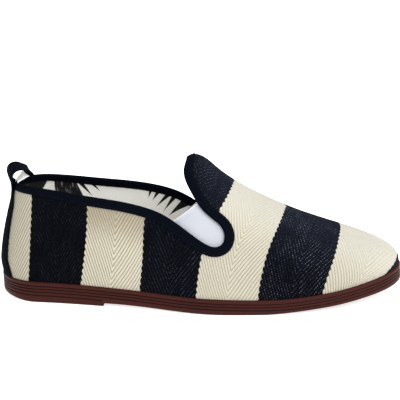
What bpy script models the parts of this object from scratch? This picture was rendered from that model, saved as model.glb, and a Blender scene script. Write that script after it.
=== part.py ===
"""Slip-on canvas plimsoll for the right foot, EU 38, standing empty on its sole.

A one-piece cloth upper with a raised tongue-like tab and a U-shaped slot on each side, an elastic
gusset behind each slot, a rubber sole with a low heel block, an insole, and a heel tape that runs
up into a pull loop.  X runs from heel to toe, -Y is the outer side of the foot, +Z is up.  Sizes
are measured from the back of the heel; the part's origin lies on the floor under the heel.
"""
import bmesh
import bpy
import numpy as np
from mathutils import Vector

MM = 0.001

# ---- driving dimensions, in millimetres ----
LENGTH = 258.0            # sole, heel to toe
ORIGIN_X = 34.0           # the origin's distance from the back of the heel
HEEL_CAP = 30.0           # length of the rounded back of the outline
TOE_CAP = 50.0            # length of the rounded front of the outline
GAP = 0.3                 # clearance between neighbouring pieces
FAR = 140.0               # reach of a cutter past the shoe

HEEL_BLOCK_END = 70.5     # front edge of the low heel block
HEEL_BLOCK_RISE = 1.9     # step in front of the heel block
WAIST_FRONT = (102.0, 150.0)  # the waist comes down to the floor between these
SPRING_START = 184.0      # the sole leaves the floor here
TOE_SPRING = 9.6          # height of the sole's underside at the toe
SOLE_TAPER = 0.9          # the sole is this much narrower near the floor
SOLE_EDGE = 0.9           # softened lower edge of the sole

UPPER_INSET = 1.2         # the upper stands this far inside the sole's top edge
UPPER_WALL = 1.6          # cloth and lining together
RIBS = 48                 # facets of the last from heel to toe
RIB_STEPS = 13            # and from the sole up to the ridge
HEEL_FAN = 60.0           # stretch over which the ribs fan round the heel
TOE_FAN = 104.0           # stretch over which the ribs fan round the toe
TAB_CURL = 4.5            # the tip of the tab dips by this much
TAB_CURL_REACH = (118.0, 128.0)  # and the dip fades out between these

INSOLE_THICK = 3.0
INSOLE_INSET = 4.4

GUSSET_THICK = 1.0

TAPE_SHARE = 0.068        # the heel tape reaches this share of the way round from the back seam
TAPE_THICK = 1.1
TAPE_GAP = 0.4            # the tape's clearance, as its facets run across the upper's
TAPE_HEAD = 0.45          # and leaves the cloth here
LOOP_HALF_WIDTH = 8.5
LOOP_SAG = 0.8            # the loop's edges stand this far forward of its middle

# Sole: x, lateral half width, medial half width, height of the top edge
SOLE_TABLE = (
    (0.0, 26.0, 27.0, 13.2),
    (30.0, 27.5, 28.0, 13.0),
    (65.0, 33.0, 29.0, 12.3),
    (100.0, 40.5, 29.0, 11.0),
    (130.0, 47.5, 33.0, 9.8),
    (155.0, 49.0, 38.5, 9.2),
    (185.0, 47.0, 42.5, 9.2),
    (210.0, 42.5, 41.0, 11.4),
    (235.0, 37.5, 37.5, 14.6),
    (258.0, 35.5, 35.5, 18.4),
)

# Last: x, height and sideways offset of the ridge, then the bulge, wall and crown of its ribs
LAST_TABLE = (
    (0.0, 112.0, 0.0, 0.05, 0.30, 0.10),
    (40.0, 114.0, 0.0, 0.10, 0.45, 0.40),
    (80.0, 107.0, 0.5, 0.08, 0.45, 0.52),
    (105.0, 95.4, 0.5, 0.06, 0.45, 0.60),
    (120.0, 90.2, 0.5, 0.06, 0.45, 0.66),
    (129.0, 88.2, 0.5, 0.06, 0.45, 0.66),
    (141.0, 79.8, 1.0, 0.06, 0.46, 0.63),
    (155.0, 69.9, 1.5, 0.06, 0.47, 0.58),
    (175.0, 58.8, 2.5, 0.06, 0.50, 0.54),
    (200.0, 48.0, 3.0, 0.06, 0.55, 0.53),
    (225.0, 40.6, 2.0, 0.05, 0.60, 0.55),
    (258.0, 34.0, 0.0, 0.03, 0.70, 0.60),
)

# Edge of the cloth seen from the side, from behind the heel to above the tab: x, z
EDGE_TABLE = (
    (-14.0, 73.0),
    (6.0, 73.0),
    (22.0, 73.0),
    (42.0, 71.4),
    (64.0, 68.6),
    (84.0, 66.0),
    (97.0, 63.4),
    (110.0, 59.2),
    (120.0, 53.6),
    (129.0, 47.4),
    (136.0, 42.8),
    (141.5, 41.0),
    (145.6, 42.8),
    (147.0, 46.8),
    (145.8, 51.4),
    (141.0, 56.4),
    (134.5, 61.8),
    (129.5, 67.2),
    (125.0, 73.4),
    (122.2, 79.2),
    (121.2, 84.0),
    (122.2, 88.0),
    (125.0, 93.0),
)

# Tucked border of the elastic gusset seen from the side: x, z
GUSSET_TABLE = (
    (121.0, 43.8),
    (127.0, 39.6),
    (134.0, 36.0),
    (141.5, 34.8),
    (148.5, 37.0),
    (152.8, 43.5),
    (152.0, 52.0),
    (147.0, 59.2),
)

# Ends of the gusset's free top edge on each side, lateral and medial: x, z
FREE_EDGES = {
    -1: ((113.0, 51.6), (135.0, 70.4)),
    1: ((121.0, 46.5), (139.5, 61.5)),
}

# Middle line of the pull loop, up from the back of the heel, over and down again to the collar:
# x, z, and its turn, which is how far it moves forward per millimetre towards the outer side
LOOP_TABLE = (
    (10.3, 71.2, 0.10),
    (8.9, 73.8, 0.30),
    (8.6, 76.6, 0.42),
    (9.8, 79.4, 0.45),
    (12.4, 81.5, 0.46),
    (15.6, 82.0, 0.46),
    (18.8, 81.1, 0.46),
    (20.8, 79.5, 0.45),
    (20.3, 77.9, 0.44),
    (18.0, 77.0, 0.44),
    (15.4, 76.0, 0.43),
    (12.9, 74.7, 0.42),
)


class Curve:
    """Natural cubic spline through the points (x, y)."""

    def __init__(self, xs, ys):
        self.x, self.y = np.array(xs, float), np.array(ys, float)
        count, self.h = len(self.x), np.diff(self.x)
        self.slope = np.diff(self.y) / self.h
        matrix, right = np.eye(count), np.zeros(count)
        for i in range(1, count - 1):
            matrix[i, i - 1:i + 2] = self.h[i - 1], 2 * (self.h[i - 1] + self.h[i]), self.h[i]
            right[i] = 3 * (self.slope[i] - self.slope[i - 1])
        self.c = np.linalg.solve(matrix, right)

    def __call__(self, x):
        x = np.asarray(x, float)
        i = np.clip(np.searchsorted(self.x, x) - 1, 0, len(self.h) - 1)
        d, h, c0, c1 = x - self.x[i], self.h[i], self.c[i], self.c[i + 1]
        first = self.slope[i] - h * (2 * c0 + c1) / 3
        return self.y[i] + d * (first + d * (c0 + d * (c1 - c0) / (3 * h)))


def columns(table):
    """Splines of the table's columns against its first one."""
    rows = np.array(table)
    return [Curve(rows[:, 0], rows[:, k]) for k in range(1, rows.shape[1])]


def trace(table, count):
    """Evenly spaced rows on the smooth curve through a table of x, z and any further columns."""
    rows = np.array(table)
    run = np.concatenate([[0.0], np.cumsum(np.hypot(*np.diff(rows[:, :2], axis=0).T))])
    at = np.linspace(0.0, run[-1], count)
    return np.stack([Curve(run, column)(at) for column in rows.T], 1)


HALF_LATERAL, HALF_MEDIAL, SOLE_TOP = columns(SOLE_TABLE)
RIDGE_Z, RIDGE_Y, BULGE, WALL, CROWN = columns(LAST_TABLE)


def ramp(x, start, end):
    """Smooth step from 0 at start to 1 at end."""
    t = np.clip((np.asarray(x, float) - start) / (end - start), 0.0, 1.0)
    return t * t * (3 - 2 * t)


def underside(x):
    """Height of the sole's underside: flat heel block, raised waist, flat forefoot, toe spring."""
    step = ramp(x, HEEL_BLOCK_END, HEEL_BLOCK_END + 1.2)
    waist = HEEL_BLOCK_RISE * step * (1 - ramp(x, *WAIST_FRONT))
    forward = np.clip((np.asarray(x, float) - SPRING_START) / (LENGTH - SPRING_START), 0.0, 1.0)
    return waist + TOE_SPRING * forward ** 1.5


def outline(x, side, inset=0.0):
    """Signed y of the sole's outline at x, for side -1 lateral or +1 medial."""
    x = np.asarray(x, float)
    half = np.where(np.asarray(side) < 0, HALF_LATERAL(x), HALF_MEDIAL(x)) - inset
    back = np.clip(1 - (x - inset) / HEEL_CAP, 0, 1)
    front = np.clip(1 - (LENGTH - inset - x) / TOE_CAP, 0, 1)
    return side * half * np.sqrt((1 - back ** 2) * (1 - front ** 2))


def station(u, inset=0.0):
    """x at share u of the way from heel to toe, slowing down round both ends."""
    arc = np.array([HEEL_CAP * np.pi / 2, LENGTH - HEEL_CAP - TOE_CAP - 2 * inset, TOE_CAP * np.pi / 2])
    a, b = arc[0] / arc.sum(), 1 - arc[2] / arc.sum()
    u = np.asarray(u, float)
    back = inset + HEEL_CAP * (1 - np.cos(np.clip(u / a, 0, 1) * np.pi / 2))
    middle = arc[1] * np.clip((u - a) / (b - a), 0, 1)
    front = TOE_CAP * np.sin(np.clip((u - b) / (1 - b), 0, 1) * np.pi / 2)
    return back + middle + front


def last_point(u, v):
    """Point on the outside of the last: u from heel to toe, v 0 to 1 to 2 over the ridge."""
    u, v = np.broadcast_arrays(np.asarray(u, float), np.asarray(v, float))
    turned = (u < 0) | (u > 1)
    u = np.where(u < 0, -u, np.where(u > 1, 2 - u, u))
    v = np.where(turned, 2 - v, v)
    side, t = np.where(v <= 1, -1.0, 1.0), np.where(v <= 1, v, 2 - v)
    foot_x = station(u, UPPER_INSET)
    back = np.clip(1 - (foot_x - UPPER_INSET) / HEEL_FAN, 0, 1)
    front = np.clip(1 - (LENGTH - UPPER_INSET - foot_x) / TOE_FAN, 0, 1)
    top_x = foot_x + HEEL_FAN / 2 * back ** 2 - TOE_FAN / 2 * front ** 2
    s = 1 - t
    reach = s ** 3 + 3 * s * s * t * (1 + BULGE(foot_x)) + 3 * s * t * t * CROWN(foot_x)
    climb = 3 * s * s * t * WALL(foot_x) + 3 * s * t * t + t ** 3
    top_y, low = RIDGE_Y(top_x), SOLE_TOP(foot_x) + GAP
    x = top_x + (foot_x - top_x) * reach
    y = top_y + (outline(foot_x, side, UPPER_INSET) - top_y) * reach
    dip = TAB_CURL * (1 - ramp(x, *TAB_CURL_REACH)) * t ** 6
    return np.stack([x, y, low + (RIDGE_Z(x) - low) * climb - dip], -1)


def last_offset(u, v, depth):
    """Point of the last moved inwards by depth along the surface's normal."""
    u, v = np.broadcast_arrays(np.asarray(u, float), np.asarray(v, float))
    u_safe = np.where(np.abs(v - 1) < 0.02, np.clip(u, 0.02, 0.98), u)
    low_v, high_v = np.clip(v - 0.01, 0, 2), np.clip(v + 0.01, 0, 2)
    along = last_point(u_safe + 0.004, v) - last_point(u_safe - 0.004, v)
    across = last_point(u_safe, high_v) - last_point(u_safe, low_v)
    normal = np.cross(along, across)
    normal /= np.linalg.norm(normal, axis=-1, keepdims=True)
    return last_point(u, v) - depth * normal


def clear_scene():
    """Remove the objects that the scene starts with."""
    for item in list(bpy.data.objects):
        bpy.data.objects.remove(item, do_unlink=True)


def material(name, colour, roughness):
    """Plain material from an sRGB colour of 0 to 255."""
    made = bpy.data.materials.new(name)
    made.use_nodes = True
    shader = made.node_tree.nodes["Principled BSDF"]
    linear = [((c / 255 + 0.055) / 1.055) ** 2.4 if c > 10 else c / 255 / 12.92 for c in colour]
    shader.inputs["Base Color"].default_value = (*linear, 1.0)
    shader.inputs["Roughness"].default_value = roughness
    shader.inputs["Metallic"].default_value = 0.0
    return made


def add_object(name, bm, look=None):
    """Put a bmesh made in millimetres from the heel into the scene as one object in metres."""
    bmesh.ops.remove_doubles(bm, verts=bm.verts, dist=0.002)
    bmesh.ops.dissolve_degenerate(bm, edges=bm.edges, dist=0.002)
    bmesh.ops.translate(bm, vec=Vector((-ORIGIN_X, 0, 0)), verts=bm.verts)
    bmesh.ops.scale(bm, vec=Vector((MM, MM, MM)), verts=bm.verts)
    bmesh.ops.recalc_face_normals(bm, faces=bm.faces)
    mesh = bpy.data.meshes.new(name)
    bm.to_mesh(mesh)
    bm.free()
    mesh.shade_smooth()
    mesh.set_sharp_from_angle(angle=np.radians(40))
    item = bpy.data.objects.new(name, mesh)
    bpy.context.scene.collection.objects.link(item)
    if look:
        mesh.materials.append(look)
    return item


def cut(item, cutter, operation):
    """Boolean of item with a cutter, which is left out of the part."""
    cutter.hide_render = True
    cutter.display_type = "WIRE"
    boolean = item.modifiers.new(cutter.name, "BOOLEAN")
    boolean.operation = operation
    boolean.solver = "EXACT"
    boolean.object = cutter


def between(front, back, rim_rows, rim_columns):
    """Closed body between two grids of points, with rims along the chosen borders."""
    bm = bmesh.new()
    rows, cols = front.shape[:2]
    grids = [[[bm.verts.new(p) for p in row] for row in grid] for grid in (front, back)]
    for sheet, grid in enumerate(grids):
        for i in range(rows - 1):
            for j in range(cols - 1):
                quad = [grid[i][j], grid[i + 1][j], grid[i + 1][j + 1], grid[i][j + 1]]
                bm.faces.new(quad if sheet == 0 else quad[::-1])
    top, low = grids
    if rim_rows:
        for i in (0, rows - 1):
            for j in range(cols - 1):
                bm.faces.new([top[i][j], top[i][j + 1], low[i][j + 1], low[i][j]])
    if rim_columns:
        for j in (0, cols - 1):
            for i in range(rows - 1):
                bm.faces.new([top[i][j], top[i + 1][j], low[i + 1][j], low[i][j]])
    return bm


def prism(name, points, low_y, high_y):
    """Cutter with a side-view outline of (x, z) points, from low_y to high_y."""
    bm = bmesh.new()
    face = bm.faces.new([bm.verts.new((x, low_y, z)) for x, z in points])
    moved = bmesh.ops.extrude_face_region(bm, geom=[face])["geom"]
    verts = [part for part in moved if isinstance(part, bmesh.types.BMVert)]
    bmesh.ops.translate(bm, vec=Vector((0, high_y - low_y, 0)), verts=verts)
    return add_object(name, bm)


def last_shell(outer_depth, inner_depth):
    """Closed shell of the whole last between two depths, open underneath, standing on the sole."""
    u, v = np.linspace(0, 1, RIBS + 1)[:, None], np.linspace(0, 2, 2 * RIB_STEPS + 1)[None, :]
    grids = [last_offset(u, v, depth) for depth in (outer_depth, inner_depth)]
    for grid in grids:
        for j in (0, -1):
            grid[:, j, 2] = SOLE_TOP(grid[:, j, 0]) + GAP
    return between(*grids, rim_rows=False, rim_columns=True)


def upper(look):
    """Cloth upper: one hollow body cut by its collar, side slots and tab."""
    shell = add_object("upper", last_shell(0.0, UPPER_WALL), look)
    edge = [tuple(p) for p in trace(EDGE_TABLE, 72)]
    corners = [(edge[-1][0], FAR), (edge[0][0], FAR)]
    cut(shell, prism("collar_cutter", edge + corners, -FAR, FAR), "DIFFERENCE")


def gusset(name, side, look):
    """Elastic panel tucked behind one side slot."""
    depth = UPPER_WALL + GAP
    shell = add_object(name, last_shell(depth, depth + GUSSET_THICK), look)
    start, end = FREE_EDGES[side]
    points = [start] + [tuple(p) for p in trace(GUSSET_TABLE, 24)] + [end]
    low_y, high_y = (-FAR, 0.0) if side < 0 else (0.0, FAR)
    cut(shell, prism(name + "_cutter", points, low_y, high_y), "INTERSECT")


def heel_tape(look):
    """Tape over the back seam that runs on into the pull loop above the collar."""
    columns_u = np.linspace(-TAPE_SHARE, TAPE_SHARE, 9)
    rows_v = np.linspace(0.0, TAPE_HEAD, 12)[:, None]
    grids = []
    loop = trace(LOOP_TABLE, 30)
    flow = np.gradient(loop[:, :2], axis=0)
    normal = np.stack([-flow[:, 1], flow[:, 0]], 1) / np.hypot(flow[:, 0], flow[:, 1])[:, None]
    across = -columns_u / TAPE_SHARE
    for lift in (TAPE_THICK / 2, -TAPE_THICK / 2):
        on_heel = last_offset(columns_u[None, :], rows_v, -TAPE_GAP - TAPE_THICK / 2 - lift)
        on_heel[0, :, 2] = SOLE_TOP(on_heel[0, :, 0]) + GAP
        ring = loop[:, :2] + normal * lift
        y = np.tile(LOOP_HALF_WIDTH * across, (len(ring), 1))
        x = ring[:, :1] + LOOP_SAG * across[None, :] ** 2 - loop[:, 2:] * y
        z = np.broadcast_to(ring[:, 1:], x.shape)
        grids.append(np.concatenate([on_heel, np.stack([x, y, z], -1)]))
    add_object("heel_tape", between(*grids, rim_rows=True, rim_columns=True), look)


def level(x_share, inset, height):
    """Ring of the sole's outline at one inset: lateral and medial points for each station."""
    x = station(x_share, inset)
    z = height(x)
    return [np.stack([x, outline(x, side, inset), z], -1) for side in (-1, 1)]


def plate(name, levels, look):
    """Closed body lofted through sole outlines, from the top edge down to the bottom."""
    lateral = [ring[0] for ring in levels]
    medial = [ring[1] for ring in levels]
    loop = np.stack(lateral + medial[::-1], 1)
    bm = bmesh.new()
    rows = [[bm.verts.new(p) for p in row] for row in loop]
    for a, b in zip(rows, rows[1:]):
        for j in range(len(a)):
            k = (j + 1) % len(a)
            bm.faces.new([a[j], b[j], b[k], a[k]])
    add_object(name, bm, look)


def outsole(look):
    """Rubber sole with its heel block, waist and toe spring."""
    share = np.linspace(0, 1, 61)
    foot = SOLE_TAPER + SOLE_EDGE
    levels = [
        level(share, 0.0, SOLE_TOP),
        level(share, SOLE_TAPER, lambda x: underside(x) + SOLE_EDGE),
        level(share, foot, underside),
    ]
    plate("outsole", levels, look)


def insole(look):
    """Insole lying on the sole inside the upper."""
    share = np.linspace(0, 1, 41)
    levels = [
        level(share, INSOLE_INSET, lambda x: SOLE_TOP(x) + GAP + INSOLE_THICK),
        level(share, INSOLE_INSET, lambda x: SOLE_TOP(x) + GAP),
    ]
    plate("insole", levels, look)


def main():
    """Build the shoe piece by piece."""
    clear_scene()
    cloth = material("striped_cloth", (205, 199, 180), 0.85)
    navy_tape = material("navy_tape", (16, 21, 29), 0.8)
    elastic = material("white_elastic", (217, 222, 230), 0.75)
    rubber = material("brown_rubber", (65, 33, 28), 0.45)
    lining = material("lining_cloth", (206, 204, 198), 0.85)
    outsole(rubber)
    insole(lining)
    upper(cloth)
    gusset("gusset_lateral", -1, elastic)
    gusset("gusset_medial", 1, elastic)
    heel_tape(navy_tape)


main()
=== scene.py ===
"""Looks of a slip-on canvas plimsoll for the right foot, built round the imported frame.

Shapes are worked out in millimetres from the back of the heel and moved into the row frame, whose
origin lies under the heel.  All cloth follows one last: u runs from heel to toe, and v from the outer
side's lower edge (0) over the ridge (1) to the inner side's lower edge (2).
"""
import logging
import math
from collections.abc import Callable
from dataclasses import dataclass, field
from enum import Enum
from functools import cached_property

import bmesh
import bpy
import numpy as np
from bpy.types import ID, Material, Node, NodeSocket, Object
from mathutils import Matrix, Vector
from numpy import ndarray as Array


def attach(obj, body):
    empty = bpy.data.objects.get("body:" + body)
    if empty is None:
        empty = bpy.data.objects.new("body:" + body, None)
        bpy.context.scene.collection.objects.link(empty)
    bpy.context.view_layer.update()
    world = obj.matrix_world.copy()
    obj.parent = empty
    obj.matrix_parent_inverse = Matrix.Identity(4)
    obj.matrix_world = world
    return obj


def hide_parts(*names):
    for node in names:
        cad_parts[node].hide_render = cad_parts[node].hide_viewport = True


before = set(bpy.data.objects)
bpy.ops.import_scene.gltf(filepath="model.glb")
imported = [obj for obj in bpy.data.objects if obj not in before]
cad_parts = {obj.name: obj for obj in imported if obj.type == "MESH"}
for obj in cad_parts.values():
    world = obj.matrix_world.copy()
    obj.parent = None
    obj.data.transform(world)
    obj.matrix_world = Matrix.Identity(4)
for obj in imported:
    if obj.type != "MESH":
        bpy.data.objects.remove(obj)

log = logging.getLogger("plimsoll")

MM = 0.001
ORIGIN_X = 34.0           # millimetres from the back of the heel to the row's origin
MAP_SCALE = 100.0         # millimetres in one unit of a UV map
NUDGE = 1e-3              # step of u or v over which a slope of the last is taken

Table = tuple[tuple[float, ...], ...]
Colour = tuple[float, float, float]
Reach = tuple[float, float]  # where something starts and where it ends
Numbers = Array | float


class Slot(Enum):
    """Material slots of the record."""

    CLOTH = "striped_cloth"
    TAPE = "navy_tape"
    ELASTIC = "white_elastic"
    RUBBER = "brown_rubber"
    LINING = "lining_cloth"


class Side(Enum):
    """Outer and inner side of the foot, as the sign of y."""

    LATERAL = -1
    MEDIAL = 1


# ------------------------------------------------------------------ shader maths


def srgb(red: float, green: float, blue: float) -> Colour:
    """Linear colour from sRGB values of 0 to 255."""
    return tuple(c / 255 / 12.92 if c < 10.3 else ((c / 255 + 0.055) / 1.055) ** 2.4
                 for c in (red, green, blue))


def operator(operation: str, swapped: bool = False) -> Callable[..., "Value"]:
    """Method of Value that adds a Math node.

    Args:
        operation: the node's operation.
        swapped: whether the other number comes first.

    Returns:
        The method.
    """
    def method(self: "Value", *other: "Value | float") -> "Value":
        """Result of the node."""
        return self.graph.math(operation, *((*other, self) if swapped else (self, *other)))
    return method


class Value:
    """A number socket whose operators add Math nodes."""

    def __init__(self, graph: "Graph", socket: NodeSocket) -> None:
        """Wrap a socket of the graph."""
        self.graph, self.socket = graph, socket

    __add__ = __radd__ = operator("ADD")
    __mul__ = __rmul__ = operator("MULTIPLY")
    __sub__, __rsub__ = operator("SUBTRACT"), operator("SUBTRACT", swapped=True)
    __truediv__, __rtruediv__ = operator("DIVIDE"), operator("DIVIDE", swapped=True)
    __pow__, __mod__ = operator("POWER"), operator("FLOORED_MODULO")
    __gt__, __lt__, __abs__ = operator("GREATER_THAN"), operator("LESS_THAN"), operator("ABSOLUTE")
    floor, fract, larger = operator("FLOOR"), operator("FRACT"), operator("MAXIMUM")

    def step(self, low: float, high: float) -> "Value":
        """Smooth step from 0 at low to 1 at high."""
        made = self.graph.node("ShaderNodeMapRange", {"interpolation_type": "SMOOTHSTEP"},
                               {"Value": self, "From Min": low, "From Max": high})
        return Value(self.graph, made.outputs["Result"])

    def ridge(self) -> "Value":
        """1 in the middle of each whole number's stretch and 0 at its ends, as a parabola."""
        centred = self.fract() * 2.0 - 1.0
        return 1.0 - centred * centred


class Graph:
    """Node tree of one material."""

    def __init__(self, name: str) -> None:
        """Start a material with its Principled shader.

        Args:
            name: the material's name.
        """
        self.material = bpy.data.materials.new(name)
        self.material.use_nodes = True
        self.tree = self.material.node_tree
        self.shader = self.tree.nodes["Principled BSDF"]

    def plug(self, node: Node, sockets: dict) -> None:
        """Set or link a node's inputs.

        Args:
            node: the node.
            sockets: a number, colour, Value or output for each named or numbered input.
        """
        for key, value in sockets.items():
            source = value.socket if isinstance(value, Value) else value
            if isinstance(source, NodeSocket):
                self.tree.links.new(source, node.inputs[key])
            else:
                node.inputs[key].default_value = source

    def node(self, kind: str, settings: dict | None = None, sockets: dict | None = None) -> Node:
        """Add a node.

        Args:
            kind: the node's type.
            settings: its properties, set first.
            sockets: its inputs, as for plug.

        Returns:
            The node.
        """
        made = self.tree.nodes.new(kind)
        for name, value in (settings or {}).items():
            setattr(made, name, value)
        self.plug(made, sockets or {})
        return made

    def math(self, operation: str, *operands: Value | float) -> Value:
        """Result of a Math node with its inputs in order."""
        made = self.node("ShaderNodeMath", {"operation": operation}, dict(enumerate(operands)))
        return Value(self, made.outputs[0])

    def split(self, vector: NodeSocket) -> list[Value]:
        """The three numbers of a vector."""
        made = self.node("ShaderNodeSeparateXYZ", None, {0: vector})
        return [Value(self, socket) for socket in made.outputs]

    def uv(self, name: str, scale: float = MAP_SCALE) -> list[Value]:
        """Both coordinates of a UV map, in millimetres unless another scale is given."""
        both = self.split(self.node("ShaderNodeUVMap", {"uv_map": name}).outputs[0])[:2]
        return both if scale == 1.0 else [value * scale for value in both]

    def place(self) -> NodeSocket:
        """Object coordinates, in metres."""
        return self.node("ShaderNodeTexCoord").outputs["Object"]

    def joined(self, x: Value | float, y: Value | float, z: Value | float = 0.0) -> NodeSocket:
        """Vector of three numbers."""
        return self.node("ShaderNodeCombineXYZ", sockets={0: x, 1: y, 2: z}).outputs[0]

    def noise(self, where: NodeSocket, scale: float, detail: float = 2.0) -> Value:
        """Smooth noise of 0 to 1, with so many lumps in one unit and so many octaves."""
        sockets = {"Vector": where, "Scale": scale, "Detail": detail, "Roughness": 0.55}
        return Value(self, self.node("ShaderNodeTexNoise", None, sockets).outputs[0])

    def chance(self, x: Value, y: Value) -> Value:
        """Random number of 0 to 1 for each pair of whole numbers."""
        made = self.node("ShaderNodeTexWhiteNoise", {"noise_dimensions": "3D"}, {"Vector": self.joined(x, y)})
        return Value(self, made.outputs["Value"])

    def mix(self, share: Value | float, *colours: Colour | NodeSocket) -> NodeSocket:
        """Blend of two colours, the first where the share is 0 and the second where it is 1."""
        first, second = ((*c, 1.0) if isinstance(c, tuple) else c for c in colours)
        return self.node("ShaderNodeMix", {"data_type": "RGBA"}, {0: share, 6: first, 7: second}).outputs[2]

    def shade(self, colour: NodeSocket, amount: Value) -> NodeSocket:
        """Colour multiplied by a number."""
        sockets = {0: colour, 1: self.joined(amount, amount, amount)}
        return self.node("ShaderNodeVectorMath", {"operation": "MULTIPLY"}, sockets).outputs[0]

    def surface(self, finish: "Finish", colour: NodeSocket, height: Value,
                more: dict | None = None) -> Material:
        """Feed the shader and finish the material.

        Args:
            finish: gives the plain roughness, relief and specular level.
            colour: base colour.
            height: relief of 0 to 1.
            more: further inputs of the shader.

        Returns:
            The material.
        """
        sockets = {"Height": height, "Distance": finish.relief * MM, "Strength": 1.0}
        bump = self.node("ShaderNodeBump", None, sockets).outputs[0]
        self.plug(self.shader, {"Base Color": colour, "Normal": bump, "Roughness": finish.roughness,
                                "Specular IOR Level": finish.specular, **(more or {})})
        return self.material


# ---------------------------------------------------------------------- finishes


@dataclass(frozen=True)
class Finish:
    """What every finish has: its slot, its material's name and its plain properties."""

    slot: Slot = Slot.CLOTH
    name: str = "plain"
    roughness: float = 0.9
    relief: float = 0.1       # height of its relief in millimetres
    specular: float = 0.5


@dataclass(frozen=True)
class StripedCloth(Finish):
    """Broad cream and navy stripes, each woven as one row of herringbone ribs."""

    name: str = "herringbone_cloth"
    roughness: float = 0.88
    relief: float = 0.42
    specular: float = 0.02
    stripe: float = 36.5      # width
    slope: float = 2.2        # ribs climb this much for each millimetre across
    rise: float = 4.1         # distance between ribs along a stripe
    yarn: float = 0.62        # width of a warp yarn
    stair: float = 0.45       # how far each rib climbs in stairs of one yarn
    scallop: float = 0.75     # depth of the waves along a stripe's edge
    faded_x: Reach = (208.0, 222.0)  # over the middle of the toe the ribs fade out
    faded_y: Reach = (2.0, 11.0)
    groove: Reach = (0.5, 0.98)      # shares of half a rib over which its groove deepens
    valley: Reach = (0.25, 0.8)      # and over which the navy darkens
    front: Reach = (1.5, 3.2)        # stripe numbers over which the heel's look turns into the toe's
    toe: Reach = (4.6, 5.4)
    flecked: Reach = (1.8, 4.2)      # and over which the navy's flecks come out
    crown: Reach = (12.0, 56.0)      # distances from the ridge over which the top turns into the side
    navy_shade: Reach = (5.0, 62.0)   # and over which painted shade darkens the navy, away from the light above
    clouds: float = 38.0      # uneven patches in a metre
    fuzz: float = 190.0       # and loose fibres
    seed_step: float = 97.0   # sets the random numbers of one stripe apart from the next one's
    cream: Colour = srgb(191, 188, 176)
    shaded_side_cream: Colour = srgb(191, 186, 169)  # painted shade: a little darker and yellower down the sides than on the lit top
    cream_groove: Colour = srgb(151, 142, 118)
    # cream below the collar's middle, darker and warmer
    under_collar_cream: Colour = srgb(166, 150, 123)
    navy: Colour = srgb(18, 22, 33)
    navy_groove: Colour = srgb(8, 10, 15)
    fleck: Colour = srgb(120, 126, 138)

    def material(self) -> Material:
        """Cloth from the maps of stripe number and distance down the stripe, and of tone, which holds painted
        shade round the heel, and darkening below the collar's middle.

        Returns:
            The material.
        """
        g = Graph(self.name)
        count, along = g.uv("weave", 1.0)
        tone, under_collar = g.uv("shade_and_tone", 1.0)
        along = along * MAP_SCALE
        x, y = (v * (1.0 / MM) for v in g.split(g.place())[:2])
        drawn = 1.0 - (x + ORIGIN_X).step(*self.faded_x) * (1.0 - abs(y).step(*self.faded_y))
        warped = count + ((along / self.rise).ridge() - 0.5) * drawn * (self.scallop / self.stripe)
        local = count.fract() * self.stripe - self.stripe / 2
        column, yarn = (local / self.yarn).floor(), (local / self.yarn).ridge()
        stepped = local * (1.0 - self.stair) + (column + 0.5) * (self.stair * self.yarn)
        worn, loose = g.noise(g.place(), self.clouds, 3.0), g.noise(g.place(), self.fuzz)
        phase = along / self.rise + abs(stepped) * (self.slope / self.rise) + worn * 0.5 + loose * 0.35
        border = abs(phase.fract() * 2.0 - 1.0)
        groove, valley = border.step(*self.groove) * drawn, border.step(*self.valley) * drawn
        luck = g.chance(column + count.floor() * self.seed_step, phase.floor())
        down, front = abs(along), count.step(*self.front)
        crown = 1.0 - down.step(*self.crown)
        toe = count.step(*self.toe) * (1.0 - crown)
        # cream: its grooves fade towards the toe, and towards the ridge as a painted wash of light; painted
        # shade falls down the sides and over the front; below the collar's middle the cream is darker and
        # warmer, with deeper grooves
        patchy = groove * (0.35 + worn * 0.6 + luck * 0.3)
        lines = patchy * (1.4 - front * 0.5 - crown * 0.8) + groove * under_collar * 0.4
        tinted_cream = g.mix(under_collar * 0.5, g.mix(crown, self.shaded_side_cream, self.cream), self.under_collar_cream)
        # painted shade over the front, a little less on its mid slopes; the cream is also darker low on the
        # toe
        painted_front_shade = front * (0.13 - crown * (1.0 - crown) * 0.15) + toe * 0.09
        cream = g.shade(g.mix(lines, tinted_cream, self.cream_groove), (1.0 - under_collar * 0.19) * (1.0 - painted_front_shade))
        # navy: painted shade darkens it down the sides, away from the light above, with pale flecks where the
        # weft shows through
        dark = g.shade(g.mix(valley, self.navy, self.navy_groove), 1.24 - down.step(*self.navy_shade) * 0.88)
        patchy = (0.3 + worn.step(0.34, 0.6) * 0.7) * (0.3 + count.step(*self.flecked) * 0.6 + crown * 0.35)
        nub = (0.12 + luck ** 2.5 * 0.88) * groove.step(0.4, 0.85) * yarn.step(0.2, 0.8) * patchy
        dark = g.mix(nub * 0.6, dark, self.fleck)
        colour = g.mix(1.0 - warped.floor() % 2.0, cream, dark)
        # tone: painted shade round the heel, and darker on the tab
        colour = g.shade(colour, (0.95 + luck * 0.05 + yarn * 0.03) * tone)
        height = ((1.0 - groove) * 0.8 + yarn * 0.2) * (1.0 - crown * 0.55)
        return g.surface(self, colour, height)


@dataclass(frozen=True)
class WovenTape(Finish):
    """Tightly woven navy tape."""

    slot: Slot = Slot.TAPE
    name: str = "woven_tape"
    roughness: float = 0.82
    relief: float = 0.12
    specular: float = 0.015
    pitch: float = 0.7        # distance between its cross ribs
    yarn: float = 0.5
    navy: Colour = srgb(7, 10, 18)
    deep: Colour = srgb(3, 5, 9)

    def material(self) -> Material:
        """Tape from the map of distance along and across.

        Returns:
            The material.
        """
        g = Graph(self.name)
        along, across = g.uv("tape")
        column = (across / self.yarn).floor()
        height = (along / self.pitch + column * 0.5).ridge() * 0.6 + (across / self.yarn).ridge() * 0.4
        luck = g.chance((along / self.pitch).floor(), column)
        colour = g.shade(g.mix(height.step(0.1, 0.8), self.deep, self.navy), 0.85 + luck * 0.3)
        return g.surface(self, colour, height)


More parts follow.
